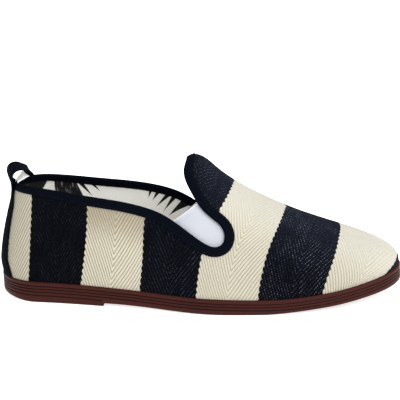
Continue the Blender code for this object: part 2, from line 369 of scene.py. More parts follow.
@dataclass(frozen=True)
class Elastic(Finish):
    """Bluish white elastic with fine ribs."""

    slot: Slot = Slot.ELASTIC
    name: str = "ribbed_elastic"
    roughness: float = 0.75
    relief: float = 0.12
    specular: float = 0.3
    rib: float = 0.8
    yarn: float = 0.45
    border: Reach = (0.5, 1.3)  # folded border
    seam: Reach = (3.2, 3.8)    # painted shade: a faint darker line along the seam's dip below it
    white: Colour = srgb(175, 178, 185)
    grey: Colour = srgb(164, 168, 176)
    fold: Colour = srgb(206, 208, 212)

    def material(self) -> Material:
        """Elastic from the map of distance along and across.

        Returns:
            The material.
        """
        g = Graph(self.name)
        along, across = g.uv("tape")
        knit = (along / self.yarn + (across / self.rib).floor() * 0.5).ridge()
        height = (across / self.rib).ridge() * 0.7 + knit * 0.3
        colour = g.mix(height.step(0.0, 0.55), self.grey, self.white)
        colour = g.mix(1.0 - across.step(*self.border), colour, self.fold)
        seam = (across > self.seam[0]) * (across < self.seam[1])
        colour = g.shade(colour, 0.97 + g.noise(g.place(), 60.0) * 0.06 - seam * 0.05)
        return g.surface(self, colour, height)


@dataclass(frozen=True)
class Wedge:
    """Dark pointed mark of the lining: x of its root, half width, lean, where it starts and its length."""

    at: float
    half: float
    lean: float
    start: float
    reach: float
    above: float = 8.0        # it goes on up this far under the binding
    border: Reach = (-0.15, 0.25)

    def spot(self, x: Value, below: Value) -> Value:
        """1 inside the mark.

        Args:
            x: distance from the heel.
            below: distance below the collar.

        Returns:
            The share of ink.
        """
        share = (below - self.start) / self.reach
        width = (1.0 - share) * self.half - abs(x - (share * self.lean + self.at))
        return width.step(*self.border) * (below > self.start - self.above)


@dataclass(frozen=True)
class Block:
    """Streaky dark band of the lining: x of its two sides and the slant of its front one."""

    low: float
    high: float
    slant: float
    start: float = 6.0
    soft: float = 0.3         # half width of its soft borders
    paler: Reach = (28.0, 34.0)  # x over which the streaks come out stronger

    def spot(self, x: Value, below: Value) -> Value:
        """1 inside the band, less in its streaks.

        Args:
            x: distance from the heel.
            below: distance below the collar.

        Returns:
            The share of ink.
        """
        g = x.graph
        leaning = x - (below - self.start) * self.slant
        streak = g.noise(g.joined(x, below * 0.15), 0.7, 3.0).step(0.5, 0.75)
        inside = (x.step(self.low - self.soft, self.low + self.soft)
                  * (1.0 - leaning.step(self.high - self.soft, self.high + self.soft)))
        return inside * (1.0 - streak * (0.05 + x.step(*self.paler) * 0.18))


@dataclass(frozen=True)
class LiningCloth(Finish):
    """Plain off-white weave, with dark marks that hang from the collar where it is printed."""

    slot: Slot = Slot.LINING
    name: str = "lining_weave"
    specular: float = 0.25
    marks: tuple[Wedge | Block, ...] = ()
    yarn: float = 0.55
    cloth: Colour = srgb(249, 248, 243)
    shade: Colour = srgb(238, 236, 229)
    ink: Colour = srgb(14, 14, 16)
    painted_glow: float = 0.0   # painted glow: the cloth gives off light in its own colour, lifting it out of its shade

    def material(self) -> Material:
        """Lining from the map of x and distance below the edge.

        Returns:
            The material.
        """
        g = Graph(self.name)
        x, below = g.uv("print")
        over = ((x / self.yarn).floor() + (below / self.yarn).floor()) % 2.0
        height = over * (x / self.yarn).ridge() + (1.0 - over) * (below / self.yarn).ridge()
        colour = g.mix(height.step(0.0, 0.7), self.shade, self.cloth)
        printed = None
        for mark in self.marks:
            spot = mark.spot(x, below)
            printed = spot if printed is None else printed.larger(spot)
        if printed is not None:
            colour = g.mix(printed, colour, self.ink)
        # painted glow lifts the cloth out of its shade
        glow = {"Emission Color": colour, "Emission Strength": self.painted_glow} if self.painted_glow else None
        return g.surface(self, colour, height, glow)


@dataclass(frozen=True)
class Rubber(Finish):
    """Moulded red-brown rubber with painted shade in its grooves, a little scuffed."""

    slot: Slot = Slot.RUBBER
    name: str = "moulded_rubber"
    relief: float = 0.05
    specular: float = 0.1
    brown: Colour = srgb(54, 20, 14)
    deep: Colour = srgb(23, 7, 4)
    scuff: Colour = srgb(75, 35, 27)

    def material(self) -> Material:
        """Rubber from the map of x and the depth of the grooves.

        Returns:
            The material.
        """
        g = Graph(self.name)
        where = g.place()
        cloudy, grain = g.noise(where, 45.0, 4.0), g.noise(where, 1400.0)
        # painted shade: darker down in the wall's grooves and the tread's grooves
        dark = g.uv("grooves", 1.0)[1].step(0.1, 0.85)
        colour = g.shade(g.mix(dark * 0.85, self.brown, self.deep), 0.82 + cloudy * 0.36)
        colour = g.mix(cloudy.step(0.56, 0.8) * grain.step(0.45, 0.7) * 0.35, colour, self.scuff)
        return g.surface(self, colour, grain * 0.6 + cloudy * 0.4, {"Roughness": 0.45 + cloudy * 0.2})


@dataclass(frozen=True)
class Thread(Finish):
    """Twisted sewing thread."""

    slot: Slot = Slot.TAPE
    name: str = "navy_thread"
    roughness: float = 0.7
    relief: float = 0.05
    specular: float = 0.03
    light: Colour = srgb(15, 19, 30)
    dark: Colour = srgb(6, 8, 13)

    def material(self) -> Material:
        """Thread with fine noise for its twist.

        Returns:
            The material.
        """
        g = Graph(self.name)
        twist = g.noise(g.place(), 2600.0)
        return g.surface(self, g.mix(twist, self.dark, self.light), twist)


@dataclass(frozen=True)
class Paper(Finish):
    """Pale matt floor, lit from below like a light table."""

    name: str = "pale_floor"
    relief: float = 0.02
    white: Colour = (0.93, 0.93, 0.93)
    grey: Colour = (0.9, 0.9, 0.9)
    glow: float = 0.75

    def material(self) -> Material:
        """Floor with a faint grain.

        Returns:
            The material.
        """
        g = Graph(self.name)
        grain = g.noise(g.place(), 300.0)
        glow = {"Emission Color": (1.0, 1.0, 1.0, 1.0), "Emission Strength": self.glow}
        return g.surface(self, g.mix(grain, self.white, self.grey), grain, glow)


# --------------------------------------------------------------- curves and last


class Curve:
    """Natural cubic spline through the points (x, y)."""

    def __init__(self, xs: Array, ys: Array) -> None:
        """Solve for the second derivatives.

        Args:
            xs: increasing numbers.
            ys: the value at each.
        """
        self.x, self.y = np.array(xs, float), np.array(ys, float)
        count, self.h = len(self.x), np.diff(self.x)
        self.slope = np.diff(self.y) / self.h
        matrix, right = np.eye(count), np.zeros(count)
        for i in range(1, count - 1):
            matrix[i, i - 1:i + 2] = self.h[i - 1], 2 * (self.h[i - 1] + self.h[i]), self.h[i]
            right[i] = 3 * (self.slope[i] - self.slope[i - 1])
        self.c = np.linalg.solve(matrix, right)

    def __call__(self, x: Numbers) -> Array:
        """Read the curve.

        Args:
            x: where.

        Returns:
            Its values there.
        """
        x = np.asarray(x, float)
        i = np.clip(np.searchsorted(self.x, x) - 1, 0, len(self.h) - 1)
        d, h, c0, c1 = x - self.x[i], self.h[i], self.c[i], self.c[i + 1]
        first = self.slope[i] - h * (2 * c0 + c1) / 3
        return self.y[i] + d * (first + d * (c0 + d * (c1 - c0) / (3 * h)))


def columns(table: Table) -> list[Curve]:
    """Splines of a table's columns against its first one."""
    first, *others = np.array(table).T
    return [Curve(first, column) for column in others]


def run_of(points: Array) -> Array:
    """Distances along a row of points, from 0."""
    return np.concatenate([[0.0], np.cumsum(np.linalg.norm(np.diff(points, axis=0), axis=1))])


def sample(at: Array, run: Array, rows: Array) -> Array:
    """Rows read between their own places along a run."""
    return np.stack([np.interp(at, run, column) for column in rows.T], -1)


def trace(table: Table, count: int) -> Array:
    """Evenly spaced rows on the smooth curve through a table.

    Args:
        table: x, z and any further columns.
        count: number of rows.

    Returns:
        The rows.
    """
    rows = np.array(table)
    run = run_of(rows[:, :2])
    at = np.linspace(0.0, run[-1], count)
    return np.stack([Curve(run, column)(at) for column in rows.T], 1)


def ramp(x: Numbers, start: float, end: float) -> Array:
    """Smooth step from 0 at start to 1 at end."""
    t = np.clip((np.asarray(x, float) - start) / (end - start), 0.0, 1.0)
    return t * t * (3 - 2 * t)


def unit(vectors: Array) -> Array:
    """Vectors scaled to length 1."""
    return vectors / np.linalg.norm(vectors, axis=-1, keepdims=True)


def paired(first: Array, second: Array) -> Array:
    """Both numbers at each point of a grid."""
    return np.stack(np.broadcast_arrays(first, second), -1)


def closed(rows: Array) -> Array:
    """Rows with the first one repeated at the end."""
    return np.concatenate([rows, rows[:1]])


def bisect(function: Callable[[Array], Array], low: Array, high: Array) -> Array:
    """Where an increasing function of an array crosses zero.

    Args:
        function: maps an array to an array.
        low: start of each interval.
        high: end of each interval.

    Returns:
        The crossings.
    """
    for _ in range(40):
        middle = (low + high) / 2
        above = function(middle) > 0
        low, high = np.where(above, low, middle), np.where(above, middle, high)
    return (low + high) / 2


@dataclass
class SoleShape:
    """Outline, top edge and underside of the sole."""

    length: float = 258.0
    heel_cap: float = 30.0
    toe_cap: float = 50.0
    heel_block_end: float = 70.5
    heel_block_step: float = 1.2
    heel_block_rise: float = 1.9
    waist_front: Reach = (78.0, 148.0)
    spring_start: float = 172.0
    spring_bend: float = 1.35
    toe_spring: float = 8.8
    tuck_end: float = 24.0    # the back of the heel is tucked in up to here
    table: Table = (  # x, lateral half width, medial half width, height of the top edge
        (0.0, 26.0, 27.0, 13.2), (30.0, 27.5, 28.0, 13.0), (65.0, 33.0, 29.0, 12.3),
        (100.0, 40.5, 29.0, 11.0), (130.0, 47.5, 33.0, 9.8), (155.0, 49.0, 38.5, 9.2),
        (185.0, 47.0, 42.5, 9.2), (210.0, 42.5, 41.0, 11.4), (235.0, 37.5, 37.5, 14.6),
        (258.0, 35.5, 35.5, 18.4),
    )

    @cached_property
    def curves(self) -> list[Curve]:
        """Splines of the table."""
        return columns(self.table)

    @property
    def arcs(self) -> Array:
        """Lengths of the heel cap, the middle and the toe cap along the outline."""
        middle = self.length - self.heel_cap - self.toe_cap
        return np.array([self.heel_cap * np.pi / 2, middle, self.toe_cap * np.pi / 2])

    def top(self, x: Array) -> Array:
        """Height of the top edge."""
        return self.curves[2](x)

    def underside(self, x: Array) -> Array:
        """Height of the underside.

        Args:
            x: distances from the heel.

        Returns:
            The heights.
        """
        step = ramp(x, self.heel_block_end, self.heel_block_end + self.heel_block_step)
        waist = self.heel_block_rise * step * (1 - ramp(x, *self.waist_front))
        forward = (np.asarray(x, float) - self.spring_start) / (self.length - self.spring_start)
        return waist + self.toe_spring * np.clip(forward, 0.0, 1.0) ** self.spring_bend

    def at_back(self, x: Array) -> Array:
        """1 at the back of the heel, falling to 0 where its tuck ends."""
        return 1 - ramp(x, 0.0, self.tuck_end)

    def outline(self, x: Array, side: Numbers, inset: Numbers = 0.0) -> Array:
        """Signed y of the outline.

        Args:
            x: distances from the heel.
            side: -1 for the outer side and 1 for the inner one.
            inset: how far it is moved inwards.

        Returns:
            y at each x.
        """
        x = np.asarray(x, float)
        half = np.where(np.asarray(side) < 0, self.curves[0](x), self.curves[1](x)) - inset
        back = np.clip(1 - (x - inset) / self.heel_cap, 0, 1)
        front = np.clip(1 - (self.length - inset - x) / self.toe_cap, 0, 1)
        return side * half * np.sqrt((1 - back ** 2) * (1 - front ** 2))

    def station(self, u: Array, inset: Numbers = 0.0) -> Array:
        """x at a share of the way from heel to toe, slowing down round both ends.

        Args:
            u: the shares.
            inset: how far inside the outline the way runs.

        Returns:
            x at each share.
        """
        heel, middle, toe = self.arcs
        middle = middle - 2 * inset
        total = heel + middle + toe
        a, b = heel / total, 1 - toe / total
        u = np.asarray(u, float)
        back = inset + self.heel_cap * (1 - np.cos(np.clip(u / a, 0, 1) * np.pi / 2))
        front = self.toe_cap * np.sin(np.clip((u - b) / (1 - b), 0, 1) * np.pi / 2)
        return back + middle * np.clip((u - a) / (b - a), 0, 1) + front

    def ring(self, u: Array, inset: Numbers, height: Array) -> Array:
        """Closed ring of points at one inset: forward along the outer side, back along the inner one.

        Args:
            u: stations from heel to toe.
            inset: how far inside the outline, alone or one for each station.
            height: z of each station.

        Returns:
            The points, twice as many as the stations.
        """
        x = self.station(u, inset)
        outer, inner = (np.stack([x, self.outline(x, side.value, inset), height], -1) for side in Side)
        return np.concatenate([outer, inner[::-1]])

    def plate(self, u: Array, inset: Numbers, cols: int) -> tuple[Array, Array]:
        """x and y of a grid that fills the outline.

        Args:
            u: stations from heel to toe.
            inset: how far inside the outline.
            cols: number of points from the outer to the inner side.

        Returns:
            x and y, one row for each station.
        """
        x = self.station(u, inset)
        outer, inner = (self.outline(x, side.value, inset)[:, None] for side in Side)
        share = np.linspace(0, 1, cols)[None, :]
        return np.broadcast_to(x[:, None], (len(u), cols)), outer + (inner - outer) * share


@dataclass
class Last:
    """The curved form that all the cloth lies on."""

    sole: SoleShape
    inset: float = 1.2
    gap: float = 0.3
    heel_tuck: float = 1.3            # how far the foot of the heel curves in
    heel_tuck_reach: float = 0.1      # and up to which share of the way over
    heel_fan: float = 60.0
    toe_fan: float = 104.0
    tab_curl: float = 5.0
    tab_curl_x: Reach = (117.5, 130.0)
    tab_curl_v: Reach = (0.55, 1.0)
    near_end: float = 0.02    # slopes fail this near an end of the ridge
    slope_steps: tuple[float, float] = (0.004, 0.01)  # steps of u and v over which the normal is taken
    rounds: int = 8           # rounds of the search for a place
    stride: float = 0.05      # longest step of u or v in a round
    search: tuple[int, int] = (180, 90)  # grid of first guesses
    table: Table = (  # x, height and sideways offset of the ridge, then bulge, wall and crown of its ribs
        (0.0, 112.0, 0.0, 0.05, 0.30, 0.10), (40.0, 114.0, 0.0, 0.10, 0.45, 0.40),
        (80.0, 107.0, 0.5, 0.08, 0.45, 0.52), (105.0, 95.4, 0.5, 0.06, 0.45, 0.60),
        (120.0, 90.2, 0.5, 0.06, 0.45, 0.72), (129.0, 88.7, 0.5, 0.06, 0.45, 0.70),
        (134.5, 86.0, 0.7, 0.06, 0.45, 0.66), (141.0, 80.3, 1.0, 0.06, 0.46, 0.63),
        (155.0, 69.9, 1.5, 0.06, 0.47, 0.58), (175.0, 58.8, 2.5, 0.06, 0.50, 0.54),
        (200.0, 48.0, 3.0, 0.06, 0.55, 0.53), (225.0, 40.6, 2.0, 0.05, 0.60, 0.55),
        (258.0, 34.0, 0.0, 0.05, 0.78, 0.63),
    )

    @cached_property
    def curves(self) -> list[Curve]:
        """Splines of the table."""
        return columns(self.table)

    def point(self, u: Numbers, v: Numbers) -> Array:
        """Point on the outside of the last; past either end it goes on round to the other side.

        Args:
            u: shares of the way from heel to toe.
            v: shares of the way over.

        Returns:
            The points.
        """
        ridge_z, ridge_y, bulge, wall, crown = self.curves
        u, v = np.broadcast_arrays(np.asarray(u, float), np.asarray(v, float))
        turned = (u < 0) | (u > 1)
        u = np.where(u < 0, -u, np.where(u > 1, 2 - u, u))
        v = np.where(turned, 2 - v, v)
        side, t = np.where(v <= 1, -1.0, 1.0), np.where(v <= 1, v, 2 - v)
        foot_x = self.sole.station(u, self.inset)
        back = np.clip(1 - (foot_x - self.inset) / self.heel_fan, 0, 1)
        front = np.clip(1 - (self.sole.length - self.inset - foot_x) / self.toe_fan, 0, 1)
        top_x = foot_x + self.heel_fan / 2 * back ** 2 - self.toe_fan / 2 * front ** 2
        s = 1 - t
        reach = s ** 3 + 3 * s * s * t * (1 + bulge(foot_x)) + 3 * s * t * t * crown(foot_x)
        climb = 3 * s * s * t * wall(foot_x) + 3 * s * t * t + t ** 3
        top_y, low = ridge_y(top_x), self.sole.top(foot_x) + self.gap
        x = top_x + (foot_x - top_x) * reach
        x = x + self.heel_tuck * self.sole.at_back(foot_x) * (1 - ramp(t, 0.0, self.heel_tuck_reach))
        y = top_y + (self.sole.outline(foot_x, side, self.inset) - top_y) * reach
        dip = self.tab_curl * (1 - ramp(x, *self.tab_curl_x)) * ramp(t, *self.tab_curl_v)
        return np.stack([x, y, low + (ridge_z(x) - low) * climb - dip], -1)

    def normal(self, u: Numbers, v: Numbers) -> Array:
        """Outward normal.

        Args:
            u: shares of the way from heel to toe.
            v: shares of the way over.

        Returns:
            The normals.
        """
        u, v = np.broadcast_arrays(np.asarray(u, float), np.asarray(v, float))
        du, dv = self.slope_steps
        safe = np.where(np.abs(v - 1) < self.near_end, np.clip(u, self.near_end, 1 - self.near_end), u)
        along = self.point(safe + du, v) - self.point(safe - du, v)
        across = self.point(safe, np.clip(v + dv, 0, 2)) - self.point(safe, np.clip(v - dv, 0, 2))
        return unit(np.cross(along, across))

    def offset(self, u: Numbers, v: Numbers, depth: Numbers) -> Array:
        """Point moved inwards by depth."""
        return self.point(u, v) - np.asarray(depth)[..., None] * self.normal(u, v)

    def nearest(self, target: Array, u: Array, v: Array, axes: list[int]) -> tuple[Array, Array]:
        """Place on the last nearest to a target.

        Args:
            target: points near the last.
            u: first guess.
            v: first guess.
            axes: the target's axes.

        Returns:
            u and v of the nearest places.
        """
        for _ in range(self.rounds):
            along, across = (
                (self.point(u + du, v + dv) - self.point(u - du, v - dv))[..., axes] / (2 * NUDGE)
                for du, dv in ((NUDGE, 0.0), (0.0, NUDGE)))
            rest = target - self.point(u, v)[..., axes]
            a, b, c = ((p * q).sum(-1) for p, q in ((along, along), (along, across), (across, across)))
            ru, rv = (rest * along).sum(-1), (rest * across).sum(-1)
            det = np.maximum(a * c - b * b, 1e-9)
            u = u + np.clip((c * ru - b * rv) / det, -self.stride, self.stride)
            v = v + np.clip((a * rv - b * ru) / det, -self.stride, self.stride)
        return u, v

    def seen_at(self, x: Array, z: Array, side: Side) -> tuple[Array, Array]:
        """Place on one side of the last that has the given x and z.

        Args:
            x: distances from the heel.
            z: heights.
            side: which side of the last.

        Returns:
            u and v of the places.
        """
        grid_u = np.linspace(self.near_end, 1 - self.near_end, self.search[0])
        ends = (0.02, 0.97) if side is Side.LATERAL else (1.03, 1.98)
        grid_v = np.linspace(*ends, self.search[1])
        grid = self.point(grid_u[:, None], grid_v[None, :])[..., [0, 2]].reshape(-1, 2)
        target = np.stack([x, z], -1)
        best = np.argmin(((grid[None] - target[:, None]) ** 2).sum(-1), axis=1)
        return self.nearest(target, grid_u[best // len(grid_v)], grid_v[best % len(grid_v)], [0, 2])


@dataclass
class CutEdge:
    """The upper's cut edge: round the heel, down each slot and over the tab."""

    last: Last
    count: int = 760
    collar_end: float = 125.0  # x where the collar starts to turn into the slot
    tab_start: float = 79.0    # height above which the edge is the tab's
    smoothing: int = 12
    far: float = 140.0         # height above the whole shoe
    collar_points: int = 420
    collar_v: Reach = (0.2, 0.8)  # where the collar is looked for
    tab_points: int = 60
    tab_overlap: int = 5       # points of the slot that the tab's border starts with
    tab_search: float = 0.09   # how far either way of u the tab is looked for
    table: Table = (  # x and z seen from the outer side, and how much higher the inner side is
        (-14.0, 73.0, 0.0), (6.0, 73.0, 0.0), (22.0, 73.0, -0.4), (42.0, 71.4, -0.5), (64.0, 68.6, -0.2),
        (84.0, 66.0, 0.6), (97.0, 63.4, 1.3), (110.0, 59.2, 1.8), (120.0, 53.6, 2.2), (129.0, 47.6, 1.4),
        (136.0, 43.2, 0.4), (141.6, 41.6, 0.0), (145.7, 43.4, 0.0), (147.0, 47.2, 0.0), (145.9, 51.5, 0.0),
        (141.0, 56.5, 0.0), (134.7, 61.9, 0.0), (130.1, 67.4, 0.0), (125.9, 73.6, 0.0), (122.2, 79.8, 0.0),
        (121.3, 83.0, 0.0), (121.9, 85.8, 0.0), (123.4, 87.7, 0.0), (124.7, 88.8, 0.0), (125.2, 91.0, 0.0),
    )

    @cached_property
    def dense(self) -> Array:
        """The table as a dense polyline."""
        return trace(self.table, 1400)

    @cached_property
    def turn(self) -> int:
        """Number of the polyline's points along the collar."""
        return int(np.argmax(self.dense[:, 0] > self.collar_end))

    def line(self, side: Side) -> Array:
        """One side's edge as a dense polyline of x, z."""
        x, z, rise = self.dense.T
        return np.stack([x, z + rise if side is Side.MEDIAL else z], -1)

    def height(self, x: Array, side: Side) -> Array:
        """Height of one side's collar edge at x."""
        collar = self.line(side)[:self.turn]
        return np.interp(x, collar[:, 0], collar[:, 1])

    def half(self, side: Side) -> Array:
        """One side's edge, from the back of the heel to the ridge of the tab.

        Args:
            side: which side.

        Returns:
            u and v of its points.
        """
        line, last, turn = self.line(side), self.last, self.turn
        tab = int(np.argmax((np.arange(len(line)) > turn) & (line[:, 1] > self.tab_start)))
        border = line[tab - self.tab_overlap:]

        def mirror(v: Array) -> Array:
            """v of the same place on the side wanted."""
            return v if side is Side.LATERAL else 2 - v

        def above(v: Array) -> Array:
            """How far the collar's stations at v lie above its edge."""
            point = last.point(collar_u, mirror(v))
            return point[..., 2] - self.height(point[..., 0], side)

        def ahead(u: Array) -> Array:
            """How far the tab's rows at u lie in front of its edge."""
            point = last.point(u, mirror(tab_v))
            return point[..., 0] - np.interp(point[..., 2], border[:, 1], border[:, 0])

        slot_u, slot_v = last.seen_at(line[turn:tab, 0], line[turn:tab, 1], side)
        slot_v = mirror(slot_v)
        collar_u = np.linspace(0.0, slot_u[0], self.collar_points)[:-1]
        collar_v = bisect(above, *(np.full(len(collar_u), end) for end in self.collar_v))
        tab_v = np.linspace(slot_v[-1], 1.0, self.tab_points)[1:]
        guess = np.full(len(tab_v), slot_u[-1])
        tab_u = bisect(ahead, guess - self.tab_search, guess + self.tab_search)
        return np.stack([np.concatenate([collar_u, slot_u, tab_u]),
                         mirror(np.concatenate([collar_v, slot_v, tab_v]))], -1)

    @cached_property
    def places(self) -> Array:
        """Even steps round the whole edge, starting at the back of the heel.

        Returns:
            u and v of each.
        """
        loop = np.concatenate([self.half(Side.LATERAL), self.half(Side.MEDIAL)[::-1][1:]])
        run = run_of(self.last.point(*loop.T))
        return sample(np.linspace(0.0, run[-1], self.count, endpoint=False), run, loop)

    @cached_property
    def frames(self) -> tuple[Array, Array]:
        """Points of the edge, and directions from it into the cloth.

        Returns:
            The points and the directions.
        """
        points, normal = self.last.point(*self.places.T), self.last.normal(*self.places.T)
        along = np.roll(points, -1, 0) - np.roll(points, 1, 0)
        for _ in range(self.smoothing):
            along = (np.roll(along, 1, 0) + 2 * along + np.roll(along, -1, 0)) / 4
        return points, unit(np.cross(unit(along), normal))

    @cached_property
    def run(self) -> Array:
        """Distances along the edge and back to its start."""
        return run_of(closed(self.frames[0]))

    def inward(self, distance: Array) -> tuple[Array, Array]:
        """Places at given distances into the cloth from each point of the edge.

        Args:
            distance: distances of the columns, one row for each point of the edge.

        Returns:
            u and v, one row for each point of the edge.
        """
        points, into = self.frames
        target = points[:, None] + into[:, None] * distance[..., None]
        u, v = (np.broadcast_to(start[:, None], distance.shape) for start in self.places.T)
        return self.last.nearest(target, u, v, [0, 1, 2])

    def cut_away(self, x: Array, z: Array, side: Side) -> Array:
        """Whether a side-view point lies in the space that one side's edge leaves open.

        Args:
            x: distances from the heel.
            z: heights.
            side: which side's edge.

        Returns:
            True for the points cut away.
        """
        line = self.line(side)
        outline = np.concatenate([line[::4], [[line[-1, 0], self.far], [line[0, 0], self.far]]])
        inside = np.zeros(np.shape(x), bool)
        for (ax, az), (bx, bz) in zip(outline, np.roll(outline, -1, 0)):
            if az != bz:
                inside ^= ((az > z) != (bz > z)) & (x < ax + (z - az) * (bx - ax) / (bz - az))
        return inside


# ------------------------------------------------------------------- mesh making


def grid_faces(rows: int, cols: int, closed_rows: bool = False, closed_cols: bool = False) -> Array:
    """Quads of a grid of points.

    Args:
        rows: number of rows.
        cols: number of columns.
        closed_rows: whether the last row joins the first.
        closed_cols: whether the last column joins the first.

    Returns:
        Corner numbers, one face to a row.
    """
    i, j = np.meshgrid(np.arange(rows - 1 + closed_rows), np.arange(cols - 1 + closed_cols), indexing="ij")
    ni, nj = (i + 1) % rows, (j + 1) % cols
    corners = [i * cols + j, ni * cols + j, ni * cols + nj, i * cols + nj]
    return np.stack(corners, -1).reshape(-1, 4)


def shell_faces(rows: int, cols: int) -> Array:
    """Quads of a closed body made of two grids of the same size.

    Args:
        rows: number of rows of each grid.
        cols: number of columns of each grid.

    Returns:
        Corner numbers: the front grid's faces, the back one's, and those of the rim.
    """
    front = grid_faces(rows, cols)
    n = np.arange(rows * cols).reshape(rows, cols)
    rims = []
    for strip, flip in ((n[0], True), (n[-1], False), (n[:, 0], False), (n[:, -1], True)):
        rim = np.stack([strip[:-1], strip[1:], strip[1:] + rows * cols, strip[:-1] + rows * cols], -1)
        rims.append(rim if flip else rim[:, ::-1])
    return np.concatenate([front, front[:, ::-1] + rows * cols, *rims])


def add_object(name: str, data: ID) -> Object:
    """New object in the scene.

    Args:
        name: its name.
        data: its mesh, light or camera.

    Returns:
        The object.
    """
    made = bpy.data.objects.new(name, data)
    bpy.context.scene.collection.objects.link(made)
    return made


def make_piece(name: str, points: Array, faces: Array, finish: Finish, maps: dict[str, Array] | None = None,
               merge: bool = True, replaces: tuple[str, ...] = ()) -> Object:
    """Make a piece that rides on the shoe.

    Args:
        name: the piece's name.
        points: corners in millimetres from the heel.
        faces: corner numbers of its faces.
        finish: what it is finished in.
        maps: UV maps as one pair of values for each corner, with lengths divided by MAP_SCALE.
        merge: whether corners in the same place become one.
        replaces: CAD nodes that it stands for.

    Returns:
        The object.
    """
    mesh = bpy.data.meshes.new(name)
    placed = (points.reshape(-1, 3) - (ORIGIN_X, 0.0, 0.0)) * MM
    mesh.from_pydata(placed.tolist(), [], faces.tolist())
    corner = np.zeros(len(mesh.loops), np.int32)
    mesh.loops.foreach_get("vertex_index", corner)
    for map_name, values in (maps or {}).items():
        layer = mesh.uv_layers.new(name=map_name)
        layer.data.foreach_set("uv", values.reshape(-1, 2)[corner].astype(np.float32).ravel())
    bm = bmesh.new()
    bm.from_mesh(mesh)
    if merge:
        bmesh.ops.remove_doubles(bm, verts=bm.verts, dist=1e-6)
        bmesh.ops.dissolve_degenerate(bm, edges=bm.edges, dist=1e-7)
    bmesh.ops.delete(bm, geom=[v for v in bm.verts if not v.link_faces], context="VERTS")
    bm.to_mesh(mesh)
    bm.free()
    mesh.shade_smooth()
    mesh.materials.append(finish.material())
    piece, slot = add_object(name, mesh), finish.slot
    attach(piece, "root")
    if replaces:
        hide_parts(*replaces)
    log.info("%s: %d faces", name, len(mesh.polygons))
    return piece


def make_slab(name: str, front: Array, back: Array, finish: Finish, flat: dict[str, Array],
              flip: bool = False, replaces: tuple[str, ...] = ()) -> Object:
    """Make a closed thin piece between two grids of points.

    Args:
        name: the piece's name.
        front: its front grid.
        back: its back grid.
        finish: what it is finished in.
        flat: the map of either grid, in millimetres, under its name.
        flip: whether the faces turn the other way.
        replaces: CAD nodes that it stands for.

    Returns:
        The object.
    """
    faces = shell_faces(*front.shape[:2])
    maps = {key: np.concatenate([values, values]) / MAP_SCALE for key, values in flat.items()}
    return make_piece(name, np.concatenate([front, back]), faces[:, ::-1] if flip else faces, finish, maps,
                      merge=False, replaces=replaces)


@dataclass
class Seam:
    """Rows of short sewn stitches along lines on the cloth."""

    name: str
    thread: Thread
    rows: list[tuple[Array, Array]]  # points of each line and outward normals there
    pitch: float = 3.0
    length: float = 2.2
    width: float = 0.5
    reach: float = 0.6        # a stitch takes its direction from the line this far either way
    flatness: float = 0.72
    sink: float = 0.25        # share of its width by which its ends go into the cloth
    ring: int = 8
    sections: int = 7

    def row(self, line: Array, normal: Array) -> tuple[Array, Array, Array]:
        """Even stitches along one line.

        Args:
            line: its points.
            normal: outward normals there.

        Returns:
            Middle, direction and outward normal of each stitch.
        """
        run = run_of(line)
        at = np.arange(self.pitch / 2, run[-1] - self.pitch / 2, self.pitch)
        behind, places, ahead = (sample(at + shift, run, line) for shift in (-self.reach, 0.0, self.reach))
        return places, unit(ahead - behind), unit(sample(at, run, normal))

    def build(self) -> Object:
        """All rows as one piece.

        Returns:
            The object.
        """
        places, along, out = (np.concatenate(part) for part in zip(*(self.row(*row) for row in self.rows)))
        turn = np.linspace(0, 2 * np.pi, self.ring, endpoint=False)[None, :]
        station = np.sin(np.linspace(-1, 1, self.sections) * np.pi / 2)[:, None]
        girth = np.sqrt(np.maximum(1 - station ** 4, 0.02)) * self.width
        side = unit(np.cross(along, out))
        parts = ((station * self.length / 2 + 0 * turn, along), (girth * np.cos(turn) / 2, side),
                 (girth * np.sin(turn) * self.flatness / 2 - station ** 2 * self.width * self.sink,
                  np.cross(side, along)))
        points = places[:, None, None] + sum(
            part[None, ..., None] * axis[:, None, None] for part, axis in parts)
        faces = grid_faces(self.sections, self.ring, closed_cols=True)
        first = self.sections * self.ring * np.arange(len(places))[:, None, None]
        return make_piece(self.name, points, (faces[None] + first).reshape(-1, 4), self.thread, merge=False)


# --------------------------------------------------------------- sub-assemblies


@dataclass(frozen=True)
class Crease:
    """Soft trough in the cloth of one side, or a ridge where its depth is negative."""

    side: Side
    x: float
    z: float
    lean: float               # degrees from upright, its top towards the toe
    length: float
    width: float
    depth: float
    clear: float = 12.0       # it fades out this near the ridge

    def at(self, points: Array) -> Array:
        """Depth of the crease.

        Args:
            points: points of the cloth.

        Returns:
            The depth at each.
        """
        turn = math.radians(self.lean)
        dx, dz = points[..., 0] - self.x, points[..., 2] - self.z
        across = dx * math.cos(turn) - dz * math.sin(turn)
        along = dx * math.sin(turn) + dz * math.cos(turn)
        shape = np.exp(-(across / self.width) ** 2 - (along / self.length) ** 4)
        return self.depth * shape * ramp(points[..., 1] * self.side.value, 0.0, self.clear)


